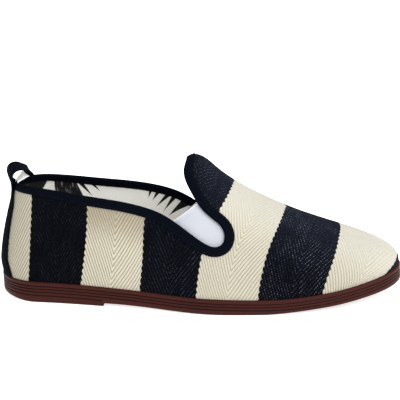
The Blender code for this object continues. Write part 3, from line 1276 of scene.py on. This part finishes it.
@dataclass
class StripeMap:
    """Where the stripes run on the last, and how far down its stripe a point lies."""

    last: Last
    past_ends: float = 36.8   # width of the stripes beyond the first and last border
    unrolled: float = 302.0   # length of the lower edge in one unit of u
    steps: int = 100          # steps down a stripe
    fine: int = 20            # and across it
    samples: int = 1201       # and from heel to toe
    drops: tuple[float, ...] = (0.0, 0.2, 0.4, 0.6, 0.8, 0.9, 1.0)
    borders: Table = (  # x of each border from the ridge (drop 0) to the sole (drop 1)
        (27.0, 27.0, 27.0, 26.6, 25.0, 23.8, 22.4),
        (63.0, 63.0, 63.0, 62.6, 61.0, 59.0, 56.7),
        (114.0, 112.0, 106.5, 98.8, 96.9, 95.7, 94.2),
        (152.7, 150.2, 144.8, 137.8, 132.2, 130.6, 129.4),
        (185.4, 182.8, 178.6, 173.3, 169.2, 167.8, 167.0),
        (220.8, 219.4, 217.0, 213.8, 209.6, 207.7, 206.2),
        (257.5, 257.5, 257.0, 256.7, 256.0, 252.6, 246.0),
    )

    @property
    def numbers(self) -> Array:
        """Numbers of the borders, with two more past each end."""
        return np.arange(-2, len(self.borders) + 2)

    def across(self, drop: float) -> Array:
        """x of every border at one drop.

        Args:
            drop: share of the way down.

        Returns:
            x in the order of the numbers.
        """
        x = np.array([float(Curve(self.drops, row)(drop)) for row in self.borders])
        steps = self.past_ends * np.array([2.0, 1.0])
        return np.concatenate([x[0] - steps, x, x[-1] + steps[::-1]])

    def laid_flat(self, u: Array, drop: float) -> Array:
        """x of the last, unrolled round the heel so that it always grows with u.

        Args:
            u: shares of the way from heel to toe.
            drop: share of the way down.

        Returns:
            The unrolled x.
        """
        sole = self.last.sole
        heel_share = sole.arcs[0] / (sole.arcs.sum() - 2 * self.last.inset)
        foot = sole.station(u, self.last.inset)
        unrolled = sole.heel_cap + self.last.inset - (heel_share - u) * self.unrolled
        return self.last.point(u, 1 - drop)[..., 0] + np.where(u < heel_share, unrolled - foot, 0.0)

    def grid(self, us: Array, vs: Array) -> tuple[Array, Array]:
        """Stripe numbers and distances along the stripes.

        Args:
            us: the grid's stations from heel to toe.
            vs: its columns over the ridge.

        Returns:
            For each point, its stripe number, and its distance down from the ridge on the outer side or,
            as a negative number, on the inner side.
        """
        fine_u = np.linspace(0, 1, self.samples)
        fine_numbers = np.linspace(self.numbers[0], self.numbers[-1], self.fine * (len(self.numbers) - 1) + 1)
        runs, before = [np.zeros(len(fine_numbers))], None
        for drop in np.linspace(0, 1, self.steps + 1):
            target = np.interp(fine_numbers, self.numbers, self.across(drop))
            path = np.interp(target, self.laid_flat(fine_u, drop), fine_u)
            here = self.last.point(path, 1 - drop)
            if before is not None:
                on_cloth = (path > 0) & (path < 1)
                runs.append(runs[-1] + on_cloth * np.linalg.norm(here - before, axis=1))
            before = here
        counts, alongs = [], []
        for v in vs:
            drop = 1 - min(v, 2 - v)
            low = min(int(drop * self.steps), self.steps - 1)
            row = runs[low] + (runs[low + 1] - runs[low]) * (drop * self.steps - low)
            counts.append(np.interp(self.laid_flat(us, drop), self.across(drop), self.numbers))
            alongs.append(np.interp(counts[-1], fine_numbers, row) * (1 if v <= 1 else -1))
        return np.stack(counts, 1), np.stack(alongs, 1)


@dataclass
class Upper:
    """Striped outer cloth and its lining."""

    last: Last
    edge: CutEdge
    stripes: StripeMap
    cloth: StripedCloth
    lining: LiningCloth
    wall: float = 1.6
    cloth_grid: tuple[int, int] = (321, 145)
    lining_grid: tuple[int, int] = (221, 121)
    seat: float = 0.04        # gap between the cloth's lower edge and the sole
    trim: float = 1.2         # how far the cloth ends below the edge, under the binding
    # painted shade round the heel, where the cloth turns away from the light
    heel_painted_shade: float = 0.2
    heel_shade_x: Reach = (15.0, 115.0)
    tab_dulling: float = 0.4
    tab_dull_x: tuple[Reach, Reach] = ((100.0, 112.0), (126.0, 139.0))  # where it comes and goes
    tab_dull_z: Reach = (62.0, 72.0)
    # where the cloth is darker and warmer below the collar's middle
    under_collar_x: tuple[Reach, Reach] = ((48.0, 64.0), (108.0, 122.0))
    under_collar_depth: Reach = (7.0, 30.0)
    creases: tuple[Crease, ...] = (
        Crease(Side.LATERAL, 163.0, 34.0, 24.0, 17.0, 5.0, 0.45),
        Crease(Side.LATERAL, 175.0, 36.0, 22.0, 15.0, 6.0, -0.3),
        Crease(Side.LATERAL, 188.0, 33.0, 26.0, 13.0, 5.0, 0.35),
        Crease(Side.LATERAL, 118.0, 32.0, -28.0, 14.0, 6.0, 0.4),
        Crease(Side.LATERAL, 84.0, 48.0, -8.0, 14.0, 8.0, 0.35),
        Crease(Side.LATERAL, 40.0, 40.0, 4.0, 18.0, 9.0, -0.35),
        Crease(Side.MEDIAL, 166.0, 34.0, 24.0, 17.0, 5.0, 0.45),
        Crease(Side.MEDIAL, 186.0, 34.0, 26.0, 14.0, 6.0, 0.35),
        Crease(Side.MEDIAL, 112.0, 34.0, -22.0, 14.0, 7.0, 0.4),
        Crease(Side.MEDIAL, 60.0, 42.0, 5.0, 16.0, 9.0, 0.35),
    )

    def sheet(self, rows: int, cols: int, depth: float) -> tuple[Array, Array, Array]:
        """Grid over the last at one depth.

        Args:
            rows: stations from heel to toe.
            cols: columns over the ridge.
            depth: distance inside the last.

        Returns:
            Stations, columns and points.
        """
        us, vs = np.linspace(0, 1, rows), np.linspace(0, 2, cols)
        points = self.last.offset(us[:, None], vs[None, :], np.full((rows, cols), depth))
        for column in (0, -1):
            points[:, column, 2] = self.last.sole.top(points[:, column, 0]) + self.seat
        return us, vs, points

    def halves(self, cols: int) -> tuple[tuple[Side, slice], ...]:
        """Columns of the outer and the inner side."""
        return (Side.LATERAL, slice(0, cols // 2 + 1)), (Side.MEDIAL, slice(cols // 2 + 1, cols))

    def kept(self, points: Array) -> Array:
        """Faces of a grid that lie wholly below the cut edge and clear of its fold.

        Args:
            points: the grid.

        Returns:
            Corner numbers of the faces.
        """
        rows, cols = points.shape[:2]
        gone = np.zeros((rows, cols), bool)
        for side, part in self.halves(cols):
            for dx, dz in ((0.0, 0.0), (self.trim, 0.0), (-self.trim, 0.0), (0.0, self.trim)):
                gone[:, part] |= self.edge.cut_away(points[:, part, 0] + dx, points[:, part, 2] + dz, side)
        faces = grid_faces(rows, cols)
        return faces[~gone.ravel()[faces].any(axis=1)]

    def below_edge(self, points: Array) -> Array:
        """How far points of a grid lie below the collar's edge.

        Args:
            points: the grid.

        Returns:
            The distances.
        """
        below = np.zeros(points.shape[:2])
        for side, part in self.halves(points.shape[1]):
            below[:, part] = self.edge.height(points[:, part, 0], side) - points[:, part, 2]
        return below

    def shade_and_tone(self, points: Array) -> Array:
        """Tone of the cloth, with painted shade round the heel where it turns away from the light and darker
        on the tab, and how much darker and warmer it is below the collar's middle.

        Args:
            points: the grid.

        Returns:
            Both for each point.
        """
        x, z = points[..., 0], points[..., 2]
        heel = 1 - ramp(x, *self.heel_shade_x)
        tab, under_collar = (ramp(x, *come) * (1 - ramp(x, *go)) for come, go in (self.tab_dull_x, self.under_collar_x))
        tone = (1 - self.heel_painted_shade * heel) * (1 - self.tab_dulling * tab * ramp(z, *self.tab_dull_z))
        return paired(tone, under_collar * (1 - ramp(self.below_edge(points), *self.under_collar_depth)))

    def build_cloth(self) -> Object:
        """Outer cloth with its stripes and soft creases.

        Returns:
            The object.
        """
        us, vs, points = self.sheet(*self.cloth_grid, 0.0)
        faces = self.kept(points)
        depth = sum(crease.at(points) for crease in self.creases)
        depth[:, [0, -1]] = 0.0
        points -= depth[..., None] * self.last.normal(us[:, None], vs[None, :])
        count, along = self.stripes.grid(us, vs)
        maps = {"weave": paired(count, along / MAP_SCALE), "shade_and_tone": self.shade_and_tone(points)}
        return make_piece("upper_cloth", points, faces, self.cloth, maps, replaces=("upper",))

    def build_lining(self) -> Object:
        """Lining, facing inwards, with its printed marks placed from the collar down.

        Returns:
            The object.
        """
        points = self.sheet(*self.lining_grid, self.wall)[2]
        maps = {"print": paired(points[..., 0], self.below_edge(points)) / MAP_SCALE}
        return make_piece("upper_lining", points, self.kept(points)[:, ::-1], self.lining, maps)

    def build(self) -> list[Object]:
        """Both layers."""
        return [self.build_cloth(), self.build_lining()]


@dataclass
class Binding:
    """Folded tape over the whole cut edge, sewn down on both sides."""

    last: Last
    edge: CutEdge
    tape: WovenTape
    thread: Thread
    broadening: float = 0.2   # share by which it is broader than at the heel
    broad_from: Reach = (22.0, 70.0)
    rows: tuple[tuple[str, float, float, int], ...] = (  # distance into the cloth, depth, and which way out
        ("binding_stitches_outside", 4.1, -0.62, 1),
        ("binding_stitches_inside", 3.6, 2.2, -1),
    )
    profile: Table = (  # distance into the cloth and depth below the last's surface
        (4.95, -0.02), (5.05, -0.25), (5.0, -0.46), (4.85, -0.58), (4.6, -0.62), (4.0, -0.64),
        (3.0, -0.66), (2.0, -0.66), (1.2, -0.6), (0.6, -0.45), (0.2, -0.1), (0.02, 0.4), (0.0, 0.8),
        (0.02, 1.2), (0.2, 1.7), (0.6, 2.05), (1.2, 2.2), (2.4, 2.24), (3.6, 2.22), (4.15, 2.2),
        (4.4, 2.1), (4.45, 1.9), (4.35, 1.62),
    )

    def places(self, into: Numbers) -> tuple[Array, Array]:
        """u and v at distances into the cloth, which grow where the tape is broader."""
        breadth = 1.0 + self.broadening * ramp(self.edge.frames[0][:, 0], *self.broad_from)
        return self.edge.inward(into * breadth[:, None])

    def build_tape(self) -> Object:
        """Tape swept along the edge.

        Returns:
            The object.
        """
        into, depth = np.array(self.profile).T
        u, v = self.places(into)
        points = closed(self.last.offset(u, v, np.broadcast_to(depth, u.shape)))
        flat = paired(self.edge.run[:, None], run_of(np.array(self.profile)))
        return make_piece("collar_binding", points, grid_faces(*points.shape[:2]), self.tape,
                          {"tape": flat / MAP_SCALE})

    def build_seam(self, name: str, into: float, depth: float, outward: int) -> Object:
        """One row of stitches beside the tape's border.

        Args:
            name: the piece's name.
            into: distance from the edge.
            depth: depth below the last's surface.
            outward: 1 on the outside of the shoe, -1 on its inside.

        Returns:
            The object.
        """
        u, v = (grid[:, 0] for grid in self.places(into))
        line, normal = self.last.offset(u, v, np.full(len(u), depth)), self.last.normal(u, v) * outward
        return Seam(name, self.thread, [(closed(line), closed(normal))]).build()

    def build(self) -> list[Object]:
        """Tape and both rows of stitches."""
        return [self.build_tape(), *(self.build_seam(*row) for row in self.rows)]


@dataclass
class Gusset:
    """Elastic panel tucked behind one side slot, with a hemmed free edge."""

    last: Last
    side: Side
    free: Table               # ends of its free edge, x and z
    elastic: Elastic
    front: float = 1.9
    thickness: float = 1.0
    grid: tuple[int, int] = (61, 49)
    crowding: float = 1.2     # columns lie closer together near the free edge
    rounding: float = 3.0     # columns over which the free edge is rounded
    beads: Table = ((5.0, 1.6, 0.16), (8.5, 1.0, -0.1))  # column, breadth and height of the hem and its seam
    table: Table = (  # tucked border, x and z
        (121.0, 43.8), (127.0, 39.6), (134.0, 36.0), (141.5, 34.8), (148.5, 37.0), (152.8, 43.5),
        (152.0, 52.0), (147.0, 59.2),
    )

    def flat(self) -> Array:
        """Side view of the panel from the free edge to the tucked border.

        Returns:
            x and z of its grid.
        """
        start, end = np.array(self.free)
        border = np.array([start, *self.table, end])
        run, share = run_of(border), np.linspace(0, 1, self.grid[0])
        low = sample(share * run[-1], run, border)[:, None]
        top = (start + share[:, None] * (end - start))[:, None]
        return top + (low - top) * np.linspace(0, 1, self.grid[1])[None, :, None] ** self.crowding

    def build(self) -> list[Object]:
        """Elastic as a closed thin body.

        Returns:
            The panel.
        """
        name = f"gusset_{self.side.name.lower()}"
        x, z = self.flat().reshape(-1, 2).T
        u, v = (places.reshape(self.grid) for places in self.last.seen_at(x, z, self.side))
        steps = np.arange(self.grid[1])
        half = self.thickness / 2 * np.minimum(1.0, np.sqrt(np.clip(steps / self.rounding, 0.02, 1.0)))
        bead = sum(height * np.exp(-((steps - at) / breadth) ** 2) for at, breadth, height in self.beads)
        middle = self.front + self.thickness / 2
        front, back = (self.last.offset(u, v, np.broadcast_to(depth, u.shape))
                       for depth in (middle - half - bead, middle + half))
        flat = np.zeros((*u.shape, 2))
        flat[1:, :, 0] = np.linalg.norm(np.diff(front, axis=0), axis=-1).cumsum(0)
        flat[:, 1:, 1] = np.linalg.norm(np.diff(front, axis=1), axis=-1).cumsum(1)
        return [make_slab(name + "_elastic", front, back, self.elastic, {"tape": flat},
                          flip=self.side is Side.MEDIAL, replaces=(name,))]


@dataclass
class HeelTape:
    """Tape over the back seam that turns into the pull loop, with a bare label inside the loop."""

    last: Last
    tape: WovenTape
    label: LiningCloth
    thread: Thread
    grid: tuple[int, int, int] = (64, 96, 27)  # rows on the heel, rows of the loop, columns
    share: float = 0.068      # half width on the heel as a share of the way to the toe
    narrowing: float = 0.25   # share of that width lost near the collar
    narrow_from: float = 0.36
    foot: float = 0.15        # and its broadening at the foot
    foot_reach: float = 0.13
    head: float = 0.45
    lift: float = 0.62        # middle of the tape above the cloth, and how much more over the binding
    binding_lift: float = 0.7
    binding_z: Reach = (62.0, 66.0)
    thickness: float = 1.0
    loop_half: float = 8.5
    loop_sag: float = 0.8
    seat: float = 0.04
    joint: int = 7            # rows either way over which heel and loop are blended
    smoothing: int = 12
    seam_inset: int = 3       # columns between the tape's border and its stitches
    seam_short: int = 4       # rows on the heel that the stitches leave free at the collar
    label_rows: tuple[int, int] = (70, 93)
    label_span: Reach = (-0.96, 0.75)  # across the loop
    label_gap: float = 0.12
    label_thickness: float = 0.16
    label_row: float = 0.55   # length of the label in each row
    table: Table = (  # loop's middle line, x and z, and how far it moves forward and up per mm outwards
        (10.3, 71.2, 0.10, 0.0), (8.9, 73.8, 0.30, 0.0), (8.4, 76.9, 0.42, -0.03), (9.4, 79.7, 0.45, -0.06),
        (12.1, 81.6, 0.46, -0.08), (15.6, 81.9, 0.46, -0.09), (18.9, 80.8, 0.46, -0.09),
        (21.7, 78.9, 0.45, -0.06), (21.2, 77.6, 0.465, -0.03), (18.9, 76.7, 0.455, 0.0),
        (16.8, 75.1, 0.40, 0.03), (15.0, 73.6, 0.33, 0.05), (13.5, 72.1, 0.25, 0.05),
        (12.4, 70.4, 0.15, 0.02),
    )

    @cached_property
    def middle(self) -> tuple[Array, Array, Array]:
        """Middle surface of the whole tape.

        Returns:
            Its points, its outward normals, and where each column lies across it, from -1 to 1.
        """
        heel_rows, loop_rows, cols = self.grid
        across = np.sin(np.linspace(-1, 1, cols) * np.pi / 2)
        v = np.linspace(0.0, self.head, heel_rows)[:, None]
        breadth = (1 - self.narrowing * ramp(v, self.narrow_from, self.head)
                   + self.foot * (1 - ramp(v, 0.0, self.foot_reach)))
        u = -self.share * breadth * across[None, :]
        on_heel = self.last.point(u, v)
        lift = self.lift + self.binding_lift * ramp(on_heel[..., 2], *self.binding_z)
        on_heel = on_heel + lift[..., None] * self.last.normal(u, v)
        on_heel[0, :, 2] = self.last.sole.top(on_heel[0, :, 0]) + self.seat
        x, z, forward, up = trace(self.table, loop_rows).T[..., None]
        y = np.broadcast_to(self.loop_half * across, (loop_rows, cols))
        loop = np.stack([x + self.loop_sag * across[None, :] ** 2 - forward * y, y, z - up * y], -1)
        whole = np.concatenate([on_heel, loop])
        joint = slice(heel_rows - self.joint, heel_rows + self.joint + 1)
        for _ in range(self.smoothing):
            smooth = (whole[:-2] + 2 * whole[1:-1] + whole[2:]) / 4
            whole[joint] = smooth[joint.start - 1:joint.stop - 1]
        out = unit(np.cross(np.gradient(whole, axis=0), np.gradient(whole, axis=1)))
        return whole, out, across

    def build_tape(self) -> Object:
        """Tape and loop as one closed body with rounded borders.

        Returns:
            The object.
        """
        whole, out, across = self.middle
        half = self.thickness / 2 * np.maximum(np.sqrt(1 - across ** 16), 0.5)
        front, back = (whole + sign * half[None, :, None] * out for sign in (1, -1))
        along = np.zeros(whole.shape[:2])
        along[1:] = np.linalg.norm(np.diff(whole, axis=0), axis=-1).cumsum(0)
        flat = paired(along.mean(1, keepdims=True), across * self.loop_half)
        return make_slab("heel_tape_strip", front, back, self.tape, {"tape": flat}, replaces=("heel_tape",))

    def build_label(self) -> Object:
        """Bare label on the inner face of the loop's front strand.

        Returns:
            The object.
        """
        whole, out, across = self.middle
        rows = slice(*(self.grid[0] + row for row in self.label_rows))
        inner = (across > self.label_span[0]) & (across < self.label_span[1])
        lift = self.thickness / 2 + self.label_gap
        face, low = ((whole - height * out)[rows][:, inner] for height in (lift, lift - self.label_thickness))
        flat = paired(np.arange(len(face))[:, None] * self.label_row, across[inner] * self.loop_half)
        return make_slab("loop_label", face, low, self.label, {"print": flat}, flip=True)

    def build_seam(self) -> Object:
        """Stitches along both borders of the tape on the heel.

        Returns:
            The object.
        """
        whole, out, across = self.middle
        rows = slice(self.grid[0] - self.seam_short)
        outside = whole[rows] + self.thickness / 2 * out[rows]
        lines = [(outside[:, column], out[rows, column])
                 for column in (self.seam_inset, len(across) - 1 - self.seam_inset)]
        return Seam("heel_tape_stitches", self.thread, lines).build()

    def build(self) -> list[Object]:
        """Tape, label and stitches."""
        return [self.build_tape(), self.build_label(), self.build_seam()]


@dataclass
class Sole:
    """Moulded rubber sole with grooves round its wall and a shallow tread underneath."""

    shape: SoleShape
    rubber: Rubber
    taper: float = -0.5
    edge: float = 0.6
    heel_edge: float = 2.2    # the lower edge is this much rounder at the back of the heel
    heel_edge_end: float = 26.0
    heel_tuck: tuple[float, float] = (1.0, 0.7)  # inset of the heel's back at the top, and more at the bottom
    lip: Table = (  # inset and drop of its rings
        (7.0, 0.0), (3.0, 0.0), (0.8, 0.0), (0.42, 0.08), (0.15, 0.28),
    )
    ring_step: float = 0.16
    wall_start: float = 0.52
    lower_rings: int = 26
    edge_rings: int = 6
    even_stations: int = 300
    block_front: tuple[float, float, int] = (69.0, 73.0, 21)  # where further stations lie, and how many
    block_fade: Reach = (-1.0, 0.4)  # the heel block's groove fades out here, from the block's end
    grooves: tuple[float, ...] = (2.55, 4.35, 6.25)  # below the top edge, all round
    heel_groove: float = 8.45                        # and one more on the heel block
    groove_half: float = 0.36
    groove_depth: float = 0.6
    plain_below: float = 6.95
    tread_grid: tuple[int, int] = (420, 105)
    tread_pitch: float = 6.0
    tread_depth: float = 0.9
    tread_wave: float = 4.5   # depth and length of the tread's zigzag
    tread_wave_length: float = 11.0
    tread_wall: Reach = (0.45, 1.15)   # distances from a groove's middle over which it rises
    tread_rim: Reach = (4.0, 5.2)      # plain border
    tread_step: Reach = (3.0, 4.5)     # plain strip beside the heel block's front

    @cached_property
    def stations(self) -> Array:
        """Stations from heel to toe, closer together at the front of the heel block.

        Returns:
            The stations.
        """
        shape = self.shape
        start, front = shape.arcs[0] / shape.arcs.sum(), 1 - shape.arcs[2] / shape.arcs.sum()
        share = (np.linspace(*self.block_front) - shape.heel_cap) / shape.arcs[1]
        even = np.linspace(0, 1, self.even_stations)
        return np.unique(np.concatenate([even, start + share * (front - start)]))

    def softened(self, x: Array) -> Array:
        """Radius of the lower edge at x."""
        return self.edge + self.heel_edge * (1 - ramp(x, 0.0, self.heel_edge_end))

    def rings(self, x: Array) -> list[tuple[Array, Array, Numbers]]:
        """Rings of the wall from the lip down to the underside.

        Args:
            x: distances from the heel.

        Returns:
            Inset, height and depth of groove of each ring.
        """
        shape, edge = self.shape, self.softened(x)
        top, low = shape.top(x), shape.underside(x)
        height = top - low
        on_heel = 1 - ramp(x, *(shape.heel_block_end + shift for shift in self.block_fade))
        tuck, slant = (amount * shape.at_back(x) for amount in self.heel_tuck)
        rings = [(inset + tuck, top - drop, 0.0) for inset, drop in self.lip]
        grooved = np.arange(self.wall_start, self.plain_below, self.ring_step)
        drops = [*(np.full(len(x), drop) for drop in grooved),
                 *(self.plain_below + t * (height - edge - self.plain_below)
                   for t in np.linspace(0, 1, self.lower_rings + 1)[1:])]
        for drop in drops:
            cut = sum(np.exp(-((drop - groove) / self.groove_half) ** 2) for groove in self.grooves)
            cut = cut + on_heel * np.exp(-((drop - self.heel_groove) / self.groove_half) ** 2)
            inset = tuck + (self.taper + slant) * drop / height
            rings.append((inset + self.groove_depth * cut, top - drop, cut))
        for turn in np.linspace(0, np.pi / 2, self.edge_rings + 1)[1:]:
            inset = tuck + self.taper + slant + edge * (1 - math.cos(turn))
            rings.append((inset, low + edge * (1 - math.sin(turn)), 0.0))
        return rings

    def build_wall(self) -> Object:
        """Wall, top lip and lower edge.

        Returns:
            The object.
        """
        u = self.stations
        rings = self.rings(self.shape.station(u))
        points = np.stack([self.shape.ring(u, inset, z) for inset, z, _ in rings], 1)
        cuts = [np.broadcast_to(cut, u.shape) for _, _, cut in rings]
        depth = np.stack([np.concatenate([cut, cut[::-1]]) for cut in cuts], 1)
        faces = grid_faces(*points.shape[:2], closed_rows=True)[:, ::-1]
        maps = {"grooves": paired(points[..., 0] / MAP_SCALE, depth)}
        return make_piece("sole_wall", points, faces, self.rubber, maps, replaces=("outsole",))

    def tread(self, x: Array, y: Array, margin: Array) -> Array:
        """Depth of the tread's zigzag grooves as a share, 0 on the rim and beside the heel block's step.

        Args:
            x: distances from the heel.
            y: distances sideways.
            margin: distances from the rim.

        Returns:
            The share at each place.
        """
        zigzag = np.abs((y / self.tread_wave_length) % 1.0 * 2 - 1) * self.tread_wave
        phase = np.abs(((x + zigzag) / self.tread_pitch) % 1.0 - 0.5) * self.tread_pitch
        from_step = np.abs(x - self.shape.heel_block_end - self.shape.heel_block_step / 2)
        clear = ramp(from_step, *self.tread_step) * ramp(margin, *self.tread_rim)
        return (1 - ramp(phase, *self.tread_wall)) * clear

    def build_tread(self) -> Object:
        """Underside with the tread pressed into it.

        Returns:
            The object.
        """
        rows, cols = self.tread_grid
        u = np.unique(np.concatenate([np.linspace(0, 1, rows), self.stations]))
        x = self.shape.station(u)
        inset = self.taper + self.softened(x) + sum(self.heel_tuck) * self.shape.at_back(x)
        x, y = self.shape.plate(u, inset, cols)
        share = np.linspace(0, 1, cols)[None, :]
        margin = np.minimum((y[:, -1:] - y[:, :1]) * np.minimum(share, 1 - share),
                            np.minimum(x, self.shape.length - x) - inset[:, None])
        cut = self.tread(x, y, margin)
        points = np.stack([x, y, self.shape.underside(x) + self.tread_depth * cut], -1)
        return make_piece("sole_tread", points, grid_faces(*x.shape)[:, ::-1], self.rubber,
                          {"grooves": paired(x / MAP_SCALE, cut)})

    def build(self) -> list[Object]:
        """Wall and tread."""
        return [self.build_wall(), self.build_tread()]


@dataclass
class Insole:
    """Cloth-covered pad inside the upper, slightly crowned."""

    shape: SoleShape
    cover: LiningCloth
    inset: float = 3.4
    lift: float = 0.3
    thickness: float = 3.0
    crown: float = 0.5
    crown_x: Reach = (5.0, 25.0)
    grid: tuple[int, int] = (160, 61)
    border: Table = (  # further inset, and rise as a share of the thickness
        (0.0, 0.0), (0.0, 0.6), (0.0, 0.78), (0.12, 0.9), (0.4, 0.97), (0.8, 1.0),
    )

    def build(self) -> list[Object]:
        """The pad.

        Returns:
            The object.
        """
        u, shape = np.linspace(0, 1, self.grid[0]), self.shape
        rings = []
        for further, rise in self.border:
            base = shape.top(shape.station(u, self.inset + further)) + self.lift
            rings.append(shape.ring(u, self.inset + further, base + rise * self.thickness))
        rings = np.stack(rings, 1)
        x, y = shape.plate(u, self.inset + self.border[-1][0], self.grid[1])
        across = np.linspace(-1, 1, self.grid[1])[None, :]
        crown = self.crown * (1 - across ** 2) * ramp(x, *self.crown_x)
        top = np.stack([x, y, shape.top(x) + self.lift + self.thickness + crown], -1)
        points = np.concatenate([rings.reshape(-1, 3), top.reshape(-1, 3)])
        faces = np.concatenate([grid_faces(*rings.shape[:2], closed_rows=True),
                                grid_faces(*x.shape) + rings.shape[0] * rings.shape[1]])
        pad = make_piece("insole_pad", points, faces, self.cover, {"print": points[:, :2] / MAP_SCALE},
                         replaces=("insole",))
        return [pad]


@dataclass(frozen=True)
class Light:
    """Square soft light: its place and the length of its sides in metres, and its strength in watts."""

    name: str
    place: tuple[float, float, float]
    size: float
    power: float

    def build(self, target: Vector) -> None:
        """Hang the light.

        Args:
            target: point that it is aimed at.
        """
        data = bpy.data.lights.new(self.name, "AREA")
        data.size, data.energy = self.size, self.power
        light = add_object(self.name, data)
        light.location = self.place
        light.rotation_mode = "QUATERNION"
        light.rotation_quaternion = (target - Vector(self.place)).to_track_quat("-Z", "Y")


@dataclass
class Studio:
    """Pale floor, soft light and the camera."""

    azimuth: float = 3.0
    elevation: float = 15.5
    roll: float = -1.0
    distance: float = 668.4
    target: tuple[float, float, float] = (130.4, 0.0, 59.0)
    lens: float = 94.43
    sensor: float = 36.0
    floor_half: float = 9.0   # metres
    floor_drop: float = 0.0002
    paper: Paper = Paper()
    sky: float = 0.82
    lit: tuple[float, float, float] = (0.1, 0.0, 0.03)  # point that the lights are aimed at, in metres
    lights: tuple[Light, ...] = (Light("key_light", (0.9, -0.7, 1.2), 1.0, 17.0),
                                 Light("top_light", (0.2, -0.1, 1.5), 1.4, 9.0))

    def build_camera(self) -> None:
        """Camera on the outer side, a little above the shoe."""
        turn, rise, roll = (math.radians(angle) for angle in (self.azimuth, self.elevation, self.roll))
        back = Vector((math.sin(turn) * math.cos(rise), -math.cos(turn) * math.cos(rise), math.sin(rise)))
        right = Vector((math.cos(turn), math.sin(turn), 0.0))
        up = back.cross(right)
        level = right * math.cos(roll) + up * math.sin(roll)
        upright = up * math.cos(roll) - right * math.sin(roll)
        data = bpy.data.cameras.new("camera")
        data.lens, data.sensor_width, data.clip_start, data.clip_end = self.lens, self.sensor, 0.01, 50.0
        camera = add_object("camera", data)
        aim = Vector(self.target) - Vector((ORIGIN_X, 0.0, 0.0))
        camera.matrix_world = (Matrix.Translation((aim + back * self.distance) * MM)
                               @ Matrix((level, upright, back)).transposed().to_4x4())
        bpy.context.scene.camera = camera

    def build_floor(self) -> None:
        """Floor that runs past the view."""
        mesh = bpy.data.meshes.new("floor")
        corners = [(x * self.floor_half, y * self.floor_half, -self.floor_drop)
                   for x, y in ((-1, -1), (1, -1), (1, 1), (-1, 1))]
        mesh.from_pydata(corners, [], [(0, 1, 2, 3)])
        mesh.materials.append(self.paper.material())
        floor = add_object("floor", mesh)

    def build(self) -> None:
        """Everything round the shoe."""
        scene, world = bpy.context.scene, bpy.data.worlds.new("studio")
        world.use_nodes = True
        background = world.node_tree.nodes["Background"].inputs
        background["Color"].default_value = (1.0, 1.0, 1.0, 1.0)
        background["Strength"].default_value = self.sky
        scene.world, scene.view_settings.view_transform = world, "Standard"
        self.build_floor()
        for light in self.lights:
            light.build(Vector(self.lit))


@dataclass
class Plimsoll:
    """The whole shoe."""

    shape: SoleShape = field(default_factory=SoleShape)
    # painted glow that lifts the lining and the loop's label out of their shade
    print_glow: float = 0.08
    label_glow: float = 0.45
    outer_free: Table = ((111.1, 53.5), (135.0, 70.4))  # ends of the gussets' free edges
    inner_free: Table = ((121.0, 46.5), (139.5, 61.5))
    marks: tuple[Wedge | Block, ...] = (
        Wedge(96.65, 0.9, -1.65, 5.95, 4.9), Wedge(101.05, 1.2, -3.45, 6.3, 6.0),
        Wedge(107.3, 1.5, -7.6, 6.6, 10.0), Wedge(111.5, 1.4, -7.0, 6.6, 12.2),
        Wedge(119.4, 2.9, -11.4, 6.2, 14.4), Wedge(50.6, 2.0, 7.4, 5.0, 8.8), Wedge(58.6, 1.5, 4.7, 5.0, 4.7),
        Block(-20.0, 28.6, -0.6), Block(33.5, 48.4, 0.42),
    )

    def parts(self) -> list:
        """Sub-assemblies in the order they are built.

        Returns:
            The sub-assemblies.
        """
        last = Last(self.shape)
        edge = CutEdge(last)
        tape, thread, elastic = WovenTape(), Thread(), Elastic()
        return [
            Sole(self.shape, Rubber()),
            Insole(self.shape, LiningCloth(name="insole_cloth")),
            Upper(last, edge, StripeMap(last), StripedCloth(),
                  LiningCloth(marks=self.marks, painted_glow=self.print_glow)),
            Gusset(last, Side.LATERAL, self.outer_free, elastic),
            Gusset(last, Side.MEDIAL, self.inner_free, elastic),
            Binding(last, edge, tape, thread),
            HeelTape(last, tape, LiningCloth(name="label_cloth", painted_glow=self.label_glow), thread),
        ]


def main() -> None:
    """Build and dress the shoe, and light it."""
    logging.basicConfig(level=logging.INFO, format="%(message)s")
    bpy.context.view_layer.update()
    studio = Studio()
    studio.build_camera()
    for part in Plimsoll().parts():
        made = part.build()
        log.info("%s: %s", type(part).__name__, ", ".join(piece.name for piece in made))
    studio.build()


if __name__ == "__main__":
    main()
